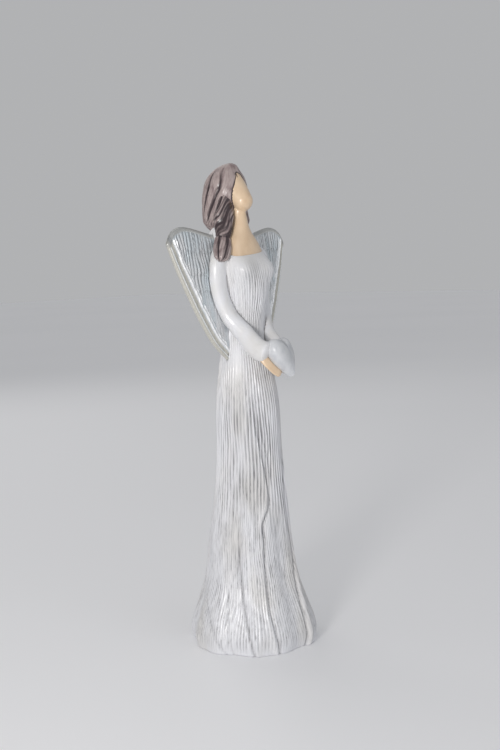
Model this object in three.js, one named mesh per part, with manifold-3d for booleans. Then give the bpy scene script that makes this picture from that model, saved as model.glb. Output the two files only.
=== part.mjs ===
// A slim angel figurine in painted cast resin: a standing robed figure with its blank face turned
// up, long hair, two pearl wings set in its back and a padded heart held before it in both hands.
// Millimetres, +Z up. The figure faces -Y, with its right side towards -X, and stands on z = 0.

import * as THREE from 'three';
import { ParametricGeometry } from 'three/addons/geometries/ParametricGeometry.js';
import { mergeVertices } from 'three/addons/utils/BufferGeometryUtils.js';
import Module from 'manifold-3d';

const wasm = await Module();
wasm.setup();

// Driving sizes
const height = 350; // underside of the hem to the crown
const hemWidth = 92; // across the foot of the robe
const hemFoldDepth = 2.2; // large soft folds at the foot
const fluteCount = 32; // carved grooves round the robe
const fluteDepth = 0.45; // from the middle line of the groove to its crest
const strandDepth = 0.8; // locks of the hair
const wingSpan = 130; // outermost edge to outermost edge
const wingLength = 95; // top edge to lower tip
const wingThickness = 5.2; // through the thickest part
const wingEdge = 1.4; // thickness of its blunt edge
const featherRise = 0.55; // crest of a feather above its groove
const rimRise = 0.8; // raised line beside the outer edge of a wing
const heartWidth = 28;
const heartHeight = 29;
const heartThickness = 15;
const heartLean = 26; // degrees that the heart leans back from upright
const heartYaw = 16; // degrees that it is turned to the figure's left
const seatGap = 0.3; // clearance of a glued seat

// The figure's pose and proportions are set out in thousandths of its height.
const mille = height / 1000;
const place = (x, y, z) => new THREE.Vector3(x, y, z).multiplyScalar(mille);
const weld = 1e-4;
const { clamp, degToRad, lerp, smoothstep } = THREE.MathUtils;

// Closed solids

/** Numbers from one value to another, in even steps. */
const evenly = (steps, from, to) => Array.from({ length: steps + 1 }, (_, i) => (
  lerp(from, to, i / steps)
));

/** A closed solid from a surface whose edges meet, without the empty triangles of its poles. */
function solid(surface) {
  surface.deleteAttribute('normal');
  surface.deleteAttribute('uv');
  const welded = mergeVertices(surface, weld);
  const corners = welded.index.array;
  const kept = [];
  for (let i = 0; i < corners.length; i += 3) {
    const [a, b, c] = [corners[i], corners[i + 1], corners[i + 2]];
    if (a !== b && b !== c && c !== a) kept.push(a, b, c);
  }
  const vertProperties = new Float32Array(welded.attributes.position.array);
  const triVerts = new Uint32Array(kept);
  return new wasm.Manifold(new wasm.Mesh({ numProp: 3, vertProperties, triVerts }));
}

/**
 * A closed solid through rows of points. pointAt(turn, row) gives the point at a turn from 0 to 1
 * round the row, which runs against the clock as seen from the last row. The first and the last
 * row are drawn together to their own middle.
 */
function loft(pointAt, rows, sides) {
  const last = rows.length - 1;
  const surface = new ParametricGeometry(
    (turn, along, target) => {
      const row = Math.round(along * last);
      target.copy(pointAt(turn % 1, rows[row], row === 0 || row === last));
    },
    sides,
    last,
  );
  return solid(surface);
}

/** The same form on the other side of the figure. */
const mirrored = (pointAt) => (turn, row, end) => {
  const point = pointAt((1 - turn) % 1, row, end);
  point.x *= -1;
  return point;
};

/** A smooth curve through stations, each a list whose first number is the place along it. */
function through(stations) {
  return (at) => {
    const last = stations.length - 1;
    let i = 0;
    while (i < last - 1 && at > stations[i + 1][0]) i += 1;
    const [before, from, to, after] = [i - 1, i, i + 1, i + 2].map(
      (n) => stations[clamp(n, 0, last)],
    );
    const step = to[0] - from[0];
    const t = clamp((at - from[0]) / step, 0, 1);
    return from.slice(1).map((value, n) => {
      const slopeIn = (to[n + 1] - before[n + 1]) / (to[0] - before[0] || step);
      const slopeOut = (after[n + 1] - value) / (after[0] - from[0] || step);
      const rise = to[n + 1] - value;
      const a = slopeIn * step - rise;
      const b = -slopeOut * step + rise;
      return (1 - t) * value + t * to[n + 1] + t * (1 - t) * (a * (1 - t) + b * t);
    });
  };
}

/** How much of its full size a limb has at share t, with both ends rounded over `ends`. */
const rounded = (t, ends) => {
  const near = Math.min(t, 1 - t, ends) / ends;
  return Math.sqrt(1 - (1 - near) ** 2);
};

/**
 * A limb along a curve. size(t) gives its half width along `across` and its half depth; carve
 * scales the outline at a turn.
 */
function limb({ path, across, size, sides, steps, ends = 0.12, carve = () => 1 }) {
  const curve = new THREE.CatmullRomCurve3(path);
  const rows = evenly(steps, 0, Math.PI).map((angle) => (1 - Math.cos(angle)) / 2);
  const pointAt = (turn, t) => {
    const tangent = curve.getTangentAt(t);
    const wide = across.clone().addScaledVector(tangent, -across.dot(tangent)).normalize();
    const deep = new THREE.Vector3().crossVectors(tangent, wide);
    const angle = 2 * Math.PI * turn;
    const [halfWidth, halfDepth] = size(t);
    const reach = rounded(t, ends) * carve(turn, t);
    return curve
      .getPointAt(t)
      .addScaledVector(wide, halfWidth * reach * Math.cos(angle))
      .addScaledVector(deep, halfDepth * reach * Math.sin(angle));
  };
  return { pointAt, rows, sides };
}

const built = ({ pointAt, rows, sides }) => loft(pointAt, rows, sides);

// Robe

// Height, half width, depth in front and depth behind, at the places where the outline turns
const robeStations = [
  [0, hemWidth / 2 - 1, hemWidth / 2 - 1, hemWidth / 2 - 1],
  [28 * mille, hemWidth / 2, hemWidth / 2, hemWidth / 2],
  ...[
    [129, 100, 97, 100],
    [214, 88, 81, 88],
    [383, 71, 69, 63],
    [500, 69, 65, 58],
    [574, 61, 54, 51],
    [657, 48, 40, 36],
    [740, 55, 52, 34],
    [795, 62, 43, 33],
    [820, 56, 32, 31],
    [838, 37, 23, 27],
    [850, 20, 16, 20],
  ].map((station) => station.map((value) => value * mille)),
];
const robeAt = through(robeStations);
const robeRows = [
  0, 0, 10, 30, 62, 112, 200, 300, 400, 490, 560, 612, 657, 700, 736, 756, 768, 780, 792, 804, 816,
  830, 850, 850,
].map((row) => row * mille);
// How many folds there are round the hem, their share of its depth, and where they start
const hemFolds = [
  { count: 6, share: 0.6, start: 0.8 },
  { count: 11, share: 0.4, start: 2.1 },
];
const foldTop = 0.4; // the share of the height where the folds have died away
const fluteEnds = { foot: 0.04, fade: 0.66, top: 0.76 };
const bust = { turn: 0.1, height: 780 * mille, rise: 14 * mille, reach: 0.055, drop: 24 * mille };

/** How far the bust stands out of the bodice at a turn from the front and a height. */
function bustRise(fromFront, z) {
  const aside = (Math.abs(fromFront) - bust.turn) / bust.reach;
  const above = (z - bust.height) / bust.drop;
  return bust.rise * Math.exp(-(aside ** 2) - above ** 2);
}

/** A point of the robe at a turn and height. Turn 0 is the figure's left side, 0.75 its front. */
function robePoint(turn, z, end) {
  if (end) return new THREE.Vector3(0, 0, z);
  const angle = 2 * Math.PI * turn;
  const [side, front, back] = robeAt(z);
  const share = z / height;
  const wave = hemFolds.reduce(
    (sum, fold) => sum + fold.share * Math.cos(fold.count * angle + fold.start),
    0,
  );
  const swing = wave * hemFoldDepth * (1 - smoothstep(share, 0, foldTop));
  const fluted = smoothstep(share, 0, fluteEnds.foot)
    * (1 - smoothstep(share, fluteEnds.fade, fluteEnds.top));
  const flute = fluteDepth * fluted * Math.cos(fluteCount * angle);
  const chest = bustRise(((turn + 0.75) % 1) - 0.5, z);
  const x = side * Math.cos(angle);
  const y = (Math.sin(angle) < 0 ? front : back) * Math.sin(angle);
  const reach = 1 + (swing + flute + chest) / Math.hypot(x, y);
  return new THREE.Vector3(x * reach, y * reach, z);
}

const robe = loft(robePoint, robeRows, 2 * fluteCount);

// Soft pads of the robe behind the shoulders, where the wings are set
const wingPad = (side) => {
  const pad = new THREE.SphereGeometry(1, 11, 7);
  pad.scale(24 * mille, 20 * mille, 26 * mille);
  pad.translate(...place(side * 40, 25, 838));
  return solid(pad);
};

// Neck and head

const neck = built(
  limb({
    path: [place(0, -1, 806), place(0, 0, 840), place(0, 1, 868), place(0, 9, 918)],
    across: new THREE.Vector3(1, 0, 0),
    size: (t) => through([[0, 60, 30], [0.3, 44, 26], [0.55, 21, 18], [0.75, 16, 16], [1, 17, 16]])(t)
      .map((value) => value * mille),
    sides: 18,
    steps: 9,
    ends: 0.05,
  }),
);

const chin = { centre: place(0, -7, 921), radius: 21.4 * mille };
const skull = { centre: place(0, 27, 957), radius: 31.4 * mille };

/** An egg drawn over two balls, turned about the line between their centres. */
function egg(small, large, sides) {
  const axis = large.centre.clone().sub(small.centre);
  const length = axis.length();
  const join = Math.asin((small.radius - large.radius) / length);
  const meridian = [];
  const arc = (ball, at, from, to, count) => {
    for (let i = 0; i <= count; i += 1) {
      const angle = lerp(from, to, i / count);
      const radius = Math.abs(Math.cos(angle)) < 1e-9 ? 0 : ball.radius * Math.cos(angle);
      meridian.push(new THREE.Vector2(radius, at + ball.radius * Math.sin(angle)));
    }
  };
  arc(small, 0, -Math.PI / 2, join, 4);
  arc(large, length, join, Math.PI / 2, 7);
  const form = new THREE.LatheGeometry(meridian, sides);
  form.applyQuaternion(
    new THREE.Quaternion().setFromUnitVectors(new THREE.Vector3(0, 1, 0), axis.normalize()),
  );
  form.translate(...small.centre);
  return form;
}

const head = solid(egg(chin, skull, 18));

// Hair

// Height, middle from front to back, half width, and depth before and behind that middle
const hairAt = through(
  [
    [834, 44, 13, 10, 10],
    [851, 50, 29, 19, 18],
    [866, 54, 38, 33, 26],
    [908, 48, 41, 46, 35.5],
    [940, 43, 40.5, 49, 39],
    [968, 40, 35, 41, 34],
    [985, 34, 25, 27, 24],
    [996, 25, 13, 14, 13],
    [1000, 20, 2, 2, 2],
  ].map((station) => station.map((value) => value * mille)),
);
const hairRows = [834, 834, 845, 859, 878, 902, 928, 950, 968, 982, 993, 1000, 1000].map(
  (row) => row * mille,
);
const strandCount = 12;
const strandSweep = 7; // how far round a lock goes back, in radians for a fall of the whole height
const hairSquareness = 2.7;

/** A point of the hair at a turn and height. Its locks sweep back as they fall. */
function hairPoint(turn, z, end) {
  const [middle, halfWidth, before, behind] = hairAt(z);
  if (end) return new THREE.Vector3(0, middle, z);
  const angle = 2 * Math.PI * turn;
  const [across, along] = [Math.cos(angle), Math.sin(angle)];
  const square = (Math.abs(across) ** hairSquareness + Math.abs(along) ** hairSquareness)
    ** (-1 / hairSquareness);
  const sweep = strandSweep * (1 - z / height) * Math.sign(across);
  const lock = strandDepth * Math.cos(strandCount * (angle - sweep)) * Math.min(1, behind / 8);
  const x = halfWidth * across * square;
  const y = (along < 0 ? before : behind) * along * square;
  const reach = 1 + lock / Math.hypot(x, y);
  return new THREE.Vector3(x * reach, middle + y * reach, z);
}

const hair = loft(hairPoint, hairRows, 4 * strandCount);

// A tress over the right shoulder, gathered where it leaves the head
const tressLocks = 3;
const tressTwist = 1.3; // turns of its locks from end to end
const tressGroove = 0.11; // depth of the grooves between them, as a share of its half width
const tress = built(
  limb({
    path: [
      place(-27, 14, 938),
      place(-34, 13, 905),
      place(-42, 10, 868),
      place(-55, 4, 838),
      place(-70, -6, 815),
      place(-79, -9, 797),
    ],
    across: new THREE.Vector3(0.75, -0.6, 0.3),
    size: (t) => through([[0, 14, 10], [0.3, 20, 12], [0.52, 17, 11], [0.7, 20, 11], [1, 18, 8]])(t)
      .map((value) => value * mille),
    sides: 12,
    steps: 11,
    ends: 0.1,
    carve: (turn, t) => (
      1 + tressGroove * Math.cos(2 * Math.PI * (tressLocks * turn - tressTwist * t))
    ),
  }),
);

// Heart

const heartMiddle = place(-1, -101, 600);
const heartTurn = new THREE.Euler(degToRad(-heartLean), 0, degToRad(heartYaw), 'ZYX');
const heartRows = evenly(10, 0, 1);
const fullness = 0.85; // below 1 the faces are flatter and the rim is rounder
const flank = 2; // below 3 the lower sides are fuller
const tipShare = 0.6; // thickness at the tip, as a share of that at the lobes

/** A place given across, up and forward in the heart's own frame. */
function byHeart(across, up, forward) {
  return new THREE.Vector3(across, -forward, up).applyEuler(heartTurn).add(heartMiddle);
}

/** The outline of the heart at a turn, for a width and height of 1, with its middle at 0. */
function heartOutline(turn) {
  const angle = 2 * Math.PI * turn;
  const side = Math.sin(angle);
  const up = 13 * Math.cos(angle) - 5 * Math.cos(2 * angle) - 2 * Math.cos(3 * angle)
    - Math.cos(4 * angle);
  return [(Math.sign(side) * Math.abs(side) ** flank) / 2, (up + 2.5) / 29];
}

/** A point of the heart's skin, with all its half sizes larger by `grow`. */
const heartPoint = (grow) => (turn, row) => {
  const [across, up] = heartOutline((1.5 - turn) % 1);
  const angle = Math.PI * row;
  const spread = Math.sin(angle) ** fullness;
  const taper = lerp(tipShare, 1, clamp(up * spread + 0.6, 0, 1));
  const swell = Math.sign(Math.cos(angle)) * Math.abs(Math.cos(angle)) ** fullness * taper;
  return byHeart(
    across * (heartWidth + 2 * grow) * spread,
    up * (heartHeight + 2 * grow) * spread,
    (heartThickness / 2 + grow) * -swell,
  );
};
const heartSides = 28;
const heart = loft(heartPoint(0), heartRows, heartSides);
const heartSeat = loft(heartPoint(seatGap), heartRows, heartSides);

// Arms and hands

const behindHeart = -heartThickness / 2;

/** The middle of a forearm, the wrist inside its sleeve and the end of the sleeve. */
const forearmOf = {
  right: {
    middle: place(-45, -35, 654),
    wrist: place(-42, -68, 622),
    cuff: heartMiddle.clone().add(
      new THREE.Vector3(-0.44 * heartWidth, 0.04 * heartHeight, 0.12 * heartHeight),
    ),
  },
  left: {
    middle: place(37, -31, 652),
    wrist: place(31, -52, 630),
    cuff: heartMiddle.clone().add(
      new THREE.Vector3(0.34 * heartWidth, 0.37 * heartHeight, 0.14 * heartHeight),
    ),
  },
};

/** A sleeve from the shoulder. side is -1 for the right and 1 for the left. */
const sleeve = (side, { middle, wrist, cuff }) => limb({
  path: [
    place(side * 60, 8, 818),
    place(side * 67, 8, 780),
    place(side * 65, 7, 734),
    place(side * 54, -9, 686),
    middle,
    wrist,
    cuff,
  ],
  across: new THREE.Vector3(1, 0, 0),
  size: (t) => through([[0, 20, 18], [0.2, 20, 15], [0.5, 19, 16], [0.8, 18, 20], [1, 20, 22]])(t)
    .map((value) => value * mille),
  sides: 12,
  steps: 12,
  ends: 0.05,
});

const fingerCount = 4;
const fingerGroove = 0.1;

/** A hand behind and below the heart, from its wrist. side is -1 for the right, 1 for the left. */
const hand = (side, from) => limb({
  path: [
    from,
    byHeart(side * 0.38 * heartWidth, 0, behindHeart + mille),
    byHeart(side * 0.27 * heartWidth, -0.18 * heartHeight, behindHeart + 3 * mille),
    byHeart(side * 0.09 * heartWidth, -0.33 * heartHeight, behindHeart + 6 * mille),
  ],
  across: new THREE.Vector3(-side * 0.6, 0.35, 0.7),
  size: (t) => through([[0, 14, 9], [0.4, 15, 8], [1, 13, 7]])(t).map((value) => value * mille),
  sides: 12,
  steps: 8,
  ends: 0.16,
  carve: (turn, t) => {
    const apart = smoothstep(t, 0.4, 0.6) * (1 - Math.cos(2 * Math.PI * fingerCount * turn));
    return 1 - (fingerGroove / 2) * apart;
  },
});

// Wings

const wingTop = 869 * mille;
const wingRoot = 34 * mille; // distance of the root from the middle of the back
const wingLean = 0.108; // how far the wing leans back for each step up
const wingSweep = 0.076; // and for each step out
const wingBack = 26 * mille; // how far behind the middle its top is, before it sweeps back
const wingThinning = 0.35; // share of its thickness that it loses from top to tip
const rimAt = 0.84; // where the raised line runs, from the root at 0 to the outer edge at 1
const featherCount = 6;
const featherEdges = 2 * featherCount; // each feather has a crest and a groove
const firstFeather = 2; // the column where they start

const outward = (share) => lerp(wingRoot, wingSpan / 2, share);
const edge = (...points) => new THREE.SplineCurve(
  points.map(([out, down]) => new THREE.Vector2(outward(out), down * wingLength)),
);
const topEdge = edge([0, 0.08], [0.27, 0.045], [0.66, 0], [0.88, 0.03], [1, 0.12]);
const outerEdge = edge(
  [1, 0.12],
  [0.86, 0.335],
  [0.665, 0.585],
  [0.52, 0.74],
  [0.36, 0.88],
  [0.14, 1],
);
const rootEdge = edge([0, 0.08], [0, 0.35], [0.03, 0.65], [0.08, 0.87], [0.14, 1]);

/** Where a feather line crosses a row of the wing, as distances out and down. */
function wingSpot(across, down) {
  const inner = rootEdge.getPoint(down);
  const outer = outerEdge.getPoint(down);
  const [innerTop, outerTop] = [rootEdge.getPoint(0), outerEdge.getPoint(0)];
  const rise = topEdge.getPoint(across).sub(innerTop.lerp(outerTop, across));
  return inner.lerp(outer, across).addScaledVector(rise, 1 - down);
}

/** How thick the wing is at a place, from 0 at its edges. */
function wingFullness(across, down) {
  return rounded(across, 0.1) * rounded(down, 0.08) * (1 - wingThinning * down);
}

const wingColumns = [
  0,
  0.05,
  ...evenly(featherEdges - 1, 0.1, rimAt - 0.07),
  rimAt,
  0.94,
  1,
];
const wingRows = [0, 0, 0.03, 0.08, 0.18, 0.3, 0.42, 0.54, 0.66, 0.78, 0.88, 0.96, 1, 1];

/** Feathers and the raised line on the front of a wing, at a column of the mesh. */
function featherRelief(column) {
  if (wingColumns[column] === rimAt) return rimRise;
  const feather = column >= firstFeather && column < firstFeather + featherEdges;
  return feather && column % 2 === 0 ? featherRise : 0;
}

/** A point of the left wing, with all its sides further out by `grow`. */
const wingPoint = (grow) => (turn, down, end) => {
  const columns = wingColumns.length;
  const step = Math.round((1 - turn) * 2 * columns) % (2 * columns);
  const front = step < columns;
  const column = front ? step : 2 * columns - 1 - step;
  const across = wingColumns[column];
  const spot = wingSpot(across, down);
  const relief = front ? featherRelief(column) : featherRelief(column) / 2;
  const rise = wingThickness / 2 - featherRise - wingEdge / 2 + relief;
  const thick = end ? 0 : wingEdge / 2 + rise * wingFullness(across, down) + grow;
  const out = spot.x + grow * (2 * across - 1);
  const z = wingTop - spot.y - grow * (2 * down - 1);
  const y = wingBack + wingLean * (z - wingTop) + wingSweep * out;
  return new THREE.Vector3(out, y + (front ? -thick : thick), z);
};

const wingSides = 2 * wingColumns.length;
const wing = (grow) => loft(wingPoint(grow), wingRows, wingSides);
const wingOther = (grow) => loft(mirrored(wingPoint(grow)), wingRows, wingSides);

// Figure

const figure = [
  wingPad(-1),
  wingPad(1),
  neck,
  head,
  hair,
  tress,
  built(sleeve(-1, forearmOf.right)),
  built(sleeve(1, forearmOf.left)),
  built(hand(-1, forearmOf.right.wrist)),
  built(hand(1, forearmOf.left.wrist)),
]
  .reduce((body, form) => body.add(form), robe)
  .subtract(heartSeat)
  .subtract(wing(seatGap))
  .subtract(wingOther(seatGap));

// Finishes and scene graph

const finish = (colour, roughness, metalness) => new THREE.MeshStandardMaterial({
  color: colour,
  roughness,
  metalness,
});
const robeWhite = finish(0xe6e6ea, 0.28, 0);
const satinWhite = finish(0xd7d9df, 0.35, 0);
const silverPearl = finish(0xaab2b6, 0.34, 0.55);

/** A named mesh from a solid. */
function piece(name, body, material) {
  const { numProp, vertProperties, triVerts } = body.getMesh();
  const geometry = new THREE.BufferGeometry();
  const positions = new THREE.BufferAttribute(new Float32Array(vertProperties), numProp);
  geometry.setAttribute('position', positions);
  geometry.setIndex(new THREE.BufferAttribute(new Uint32Array(triVerts), 1));
  geometry.computeVertexNormals();
  const mesh = new THREE.Mesh(geometry, material);
  mesh.name = name;
  return mesh;
}

const angel = new THREE.Group();
angel.add(
  piece('figure', figure, robeWhite),
  piece('heart', heart, satinWhite),
  piece('wing_right', wingOther(0), silverPearl),
  piece('wing_left', wing(0), silverPearl),
);

export default angel;
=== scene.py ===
"""A slim angel figurine in painted cast resin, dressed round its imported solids.

Every form is worked out in millimetres in the frame's own axes: +Z up from the foot of the robe,
the figure facing -Y with its right side towards -X. Meshes are turned into metres at the end.
"""

import logging
import math
from dataclasses import dataclass, field
from enum import Enum, IntEnum
from typing import Callable, Sequence, Union

import bmesh
import bpy
import numpy as np
from mathutils import Matrix, Vector, kdtree, noise


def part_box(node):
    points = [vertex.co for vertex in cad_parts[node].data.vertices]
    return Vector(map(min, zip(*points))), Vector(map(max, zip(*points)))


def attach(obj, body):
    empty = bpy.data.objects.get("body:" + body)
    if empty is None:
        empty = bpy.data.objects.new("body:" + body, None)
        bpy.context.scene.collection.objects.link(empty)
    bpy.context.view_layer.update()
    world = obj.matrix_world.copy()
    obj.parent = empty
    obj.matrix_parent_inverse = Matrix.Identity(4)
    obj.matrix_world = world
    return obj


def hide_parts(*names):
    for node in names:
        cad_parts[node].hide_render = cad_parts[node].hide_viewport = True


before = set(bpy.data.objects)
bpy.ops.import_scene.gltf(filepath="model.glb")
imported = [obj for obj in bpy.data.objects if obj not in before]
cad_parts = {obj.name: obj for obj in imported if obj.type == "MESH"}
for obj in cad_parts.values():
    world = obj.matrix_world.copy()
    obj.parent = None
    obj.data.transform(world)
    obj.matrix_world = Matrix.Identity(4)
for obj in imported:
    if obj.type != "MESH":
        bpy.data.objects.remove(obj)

MM = 0.001
TURN = 2 * math.pi
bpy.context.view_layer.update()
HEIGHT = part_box("figure")[1][2] / MM
MILLE = HEIGHT / 1000  # the pose and proportions are set out in thousandths of the height
WING_SPAN = 2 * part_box("wing_left")[1][0] / MM
WING_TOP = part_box("wing_left")[1][2] / MM
WING_LENGTH = WING_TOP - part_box("wing_left")[0][2] / MM

Array = np.ndarray
Stations = Sequence[Sequence[float]]
Pair = tuple[float, float]
FACE, NAPE = 0.75, 0.25  # turns round the figure's axis
SPINE_POINTS = 600  # along the curve of a limb
END_CUT = 0.004  # how much of a limb's rounded end is left out at its pole
log = logging.getLogger("angel")


# Curves and surfaces


def smooth(value: Array, low: float, high: float) -> Array:
    """A soft step from 0 at low to 1 at high."""
    t = np.clip((value - low) / (high - low), 0, 1)
    return t * t * (3 - 2 * t)


def bell(value: Array, width: float) -> Array:
    """A soft rise round 0, with that half width."""
    return np.exp(-((value / width) ** 2))


def aside(turn: Array, at: Union[Array, float]) -> Array:
    """How far a turn lies from another, from -0.5 to 0.5."""
    return (turn - at + 0.5) % 1 - 0.5


def turns(sides: int) -> Array:
    """The turns of a form's sides, in one row."""
    return np.arange(sides)[None, :] / sides


def oval(half: Array, angle: Array) -> tuple[Array, Array]:
    """Places round an outline.

    Args:
        half: its half width, and how far it reaches in front and behind, last.
        angle: directions, with the front below 0.

    Returns:
        Distances to the side and to the back.
    """
    deep = np.where(np.sin(angle) < 0, half[..., 1], half[..., 2])
    return half[..., 0] * np.cos(angle), deep * np.sin(angle)


def risen(z: Array, low: float, high: float) -> Array:
    """A soft step between two heights in thousandths."""
    return smooth(z, low * MILLE, high * MILLE)


def tapered(count: int, crowding: float) -> Array:
    """Shares from 0 to 1 that crowd towards both ends."""
    even = np.linspace(0, 1, count)
    return crowding * (1 - np.cos(math.pi * even)) / 2 + (1 - crowding) * even


def place(x: float, y: float, z: float) -> Array:
    """A place given in thousandths of the figure's height."""
    return np.array([x, y, z], float) * MILLE


def through(stations: Stations) -> Callable[[Array], Array]:
    """A smooth curve through stations.

    Args:
        stations: lists whose first number is the place along the curve.

    Returns:
        A function from places to the other numbers, one row for each place.
    """
    table = np.array(stations, float)
    at, values = table[:, 0], table[:, 1:]
    last = len(at) - 1
    before = np.maximum(np.arange(last + 1) - 1, 0)
    after = np.minimum(np.arange(last + 1) + 1, last)
    slopes = (values[after] - values[before]) / (at[after] - at[before])[:, None]

    def curve(spots: Array) -> Array:
        """The curve's numbers at the given places.

        Args:
            spots: places along it.

        Returns:
            One row of numbers for each place.
        """
        spots = np.asarray(spots, float)
        i = np.clip(np.searchsorted(at, spots, side="right") - 1, 0, last - 1)
        step = (at[i + 1] - at[i])[..., None]
        t = np.clip((spots[..., None] - at[i][..., None]) / step, 0, 1)
        rise = values[i + 1] - values[i]
        into = slopes[i] * step - rise
        out = rise - slopes[i + 1] * step
        return (1 - t) * values[i] + t * values[i + 1] + t * (1 - t) * (into * (1 - t) + out * t)

    return curve


def in_mille(stations: Stations) -> list[list[float]]:
    """Stations in millimetres from stations in thousandths of the height."""
    return [[value * MILLE for value in station] for station in stations]


def rounded(t: Array, ends: float) -> Array:
    """How much of its full size a form has at share t, with both ends rounded over `ends`."""
    near = np.minimum(np.minimum(t, 1 - t), ends) / ends
    return np.sqrt(np.clip(1 - (1 - near) ** 2, 0, 1))


@dataclass(frozen=True)
class Grain:
    """Noise drawn out along Z, with the size of a streak in millimetres."""

    across: float
    along: float
    seed: float  # shifts the pattern

    def at(self, points: Array) -> Array:
        """A number from about -1 to 1 for each place; x, y and z come last in points."""
        scaled = points.reshape(-1, 3) / np.array([self.across, self.across, self.along]) + self.seed
        return np.array([noise.noise(spot) for spot in scaled.tolist()]).reshape(points.shape[:-1])


def shown(name: str, data: bpy.types.ID) -> bpy.types.Object:
    """An object of that data, in the scene.

    Args:
        name: what it is called.
        data: its mesh, light or camera.

    Returns:
        The object.
    """
    thing = bpy.data.objects.new(name, data)
    bpy.context.scene.collection.objects.link(thing)
    return thing


class Part(IntEnum):
    """The forms of the casting, in the order of its material slots."""

    ROBE = 0
    SLEEVE = 1
    PAD = 2
    NECK = 3
    HEAD = 4
    HAND = 5
    HAIR = 6
    TRESS = 7


@dataclass
class Shell:
    """A closed skin through rows of points, drawn together in the middle at both ends.

    grid holds rows of points that run against the clock as seen from the last row, and hollow
    says from 0 to 1 how deep in a groove each point lies.
    """

    grid: Array
    part: Part = Part.ROBE
    hollow: Union[Array, None] = None

    def corners(self) -> tuple[Array, Array]:
        """The points, with the middles of both ends last, and how hollow each is.

        Returns:
            One row for each point, and one number from 0 to 1.
        """
        points = self.grid.reshape(-1, 3)
        ends = [self.grid[0].mean(axis=0), self.grid[-1].mean(axis=0)]
        hollow = np.zeros(self.grid.shape[:2]) if self.hollow is None else self.hollow
        return np.vstack([points, ends]), np.append(hollow.ravel(), [0, 0])

    def faces(self) -> list[tuple[int, ...]]:
        """Quads between the rows and a fan at each end.

        Returns:
            The numbers of the corners of each face.
        """
        rows, sides = self.grid.shape[:2]
        ring = np.arange(sides)
        beside = (ring + 1) % sides
        base = (np.arange(rows - 1) * sides)[:, None]
        quads = np.stack([base + ring, base + beside, base + beside + sides, base + ring + sides], 2)
        foot, top = rows * sides, rows * sides + 1
        last = (rows - 1) * sides
        fans = [(foot, int(b), int(a)) for a, b in zip(ring, beside)]
        fans += [(top, int(last + a), int(last + b)) for a, b in zip(ring, beside)]
        return [tuple(quad) for quad in quads.reshape(-1, 4).tolist()] + fans

    def made(self, name: str, slots: int = 1) -> bpy.types.Object:
        """The shell as an object, with a number of material slots still empty.

        Args:
            name: what it is called.
            slots: how many materials it can carry.

        Returns:
            The object.
        """
        points, hollow = self.corners()
        mesh = bpy.data.meshes.new(name)
        mesh.from_pydata((points * MM).tolist(), [], self.faces())
        for _ in range(slots):
            mesh.materials.append(None)
        index = self.part if slots > 1 else 0
        mesh.polygons.foreach_set("material_index", np.full(len(mesh.polygons), index, np.int32))
        mesh.polygons.foreach_set("use_smooth", np.ones(len(mesh.polygons), bool))
        mesh.attributes.new("hollow", "FLOAT", "POINT").data.foreach_set("value", hollow)
        return shown(name, mesh)


@dataclass
class Limb:
    """A round form along a curve."""

    path: Sequence[Array]
    across: Sequence[float]
    sizes: Stations  # share of the length, half width along `across`, half depth, in mille
    sides: int
    steps: int
    ends: float = 0.1

    def spine(self, t: Array) -> tuple[Array, Array]:
        """Places and directions at shares of the length.

        Args:
            t: shares of the length.

        Returns:
            Places and unit directions, one row for each share.
        """
        points = np.array(self.path)
        chords = np.append(0, np.cumsum(np.linalg.norm(np.diff(points, axis=0), axis=1)))
        curve = through(np.column_stack([chords, points]).tolist())
        fine = np.linspace(0, chords[-1], SPINE_POINTS)
        line = curve(fine)
        run = np.append(0, np.cumsum(np.linalg.norm(np.diff(line, axis=0), axis=1)))
        where, tangent = (
            np.column_stack([np.interp(t * run[-1], run, values[:, i]) for i in range(3)])
            for values in (line, np.gradient(line, axis=0))
        )
        return where, tangent / np.linalg.norm(tangent, axis=1)[:, None]

    def shell(self, part: Part, carve: Callable[[Array, Array], tuple[Array, Array]]) -> Shell:
        """The limb's skin.

        Args:
            part: the form that it belongs to.
            carve: gives, for turns and shares of the length, a scale of the outline and how
                hollow the place is.

        Returns:
            The shell.
        """
        blunt = self.ends * END_CUT
        t = np.clip(tapered(self.steps + 1, 0.5), blunt, 1 - blunt)
        turn = turns(self.sides)
        where, tangent = self.spine(t)
        across = np.array(self.across, float)
        wide = across - (tangent @ across)[:, None] * tangent
        wide /= np.linalg.norm(wide, axis=1)[:, None]
        deep = np.cross(tangent, wide)
        half = through(self.sizes)(t) * MILLE
        scale, hollow = carve(turn, t[:, None])
        reach = rounded(t, self.ends)[:, None] * scale
        angle = TURN * turn
        grid = where[:, None] + (half[:, :1] * reach * np.cos(angle))[..., None] * wide[:, None]
        grid = grid + (half[:, 1:] * reach * np.sin(angle))[..., None] * deep[:, None]
        return Shell(grid, part, np.broadcast_to(hollow, reach.shape))


def flipped(shell: Shell) -> Shell:
    """The same form on the other side of the figure."""
    grid = shell.grid[:, ::-1] * np.array([-1, 1, 1])
    return Shell(grid, shell.part, None if shell.hollow is None else shell.hollow[:, ::-1])


# Shader nodes

Input = Union["Wire", float, Sequence[float]]


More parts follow.
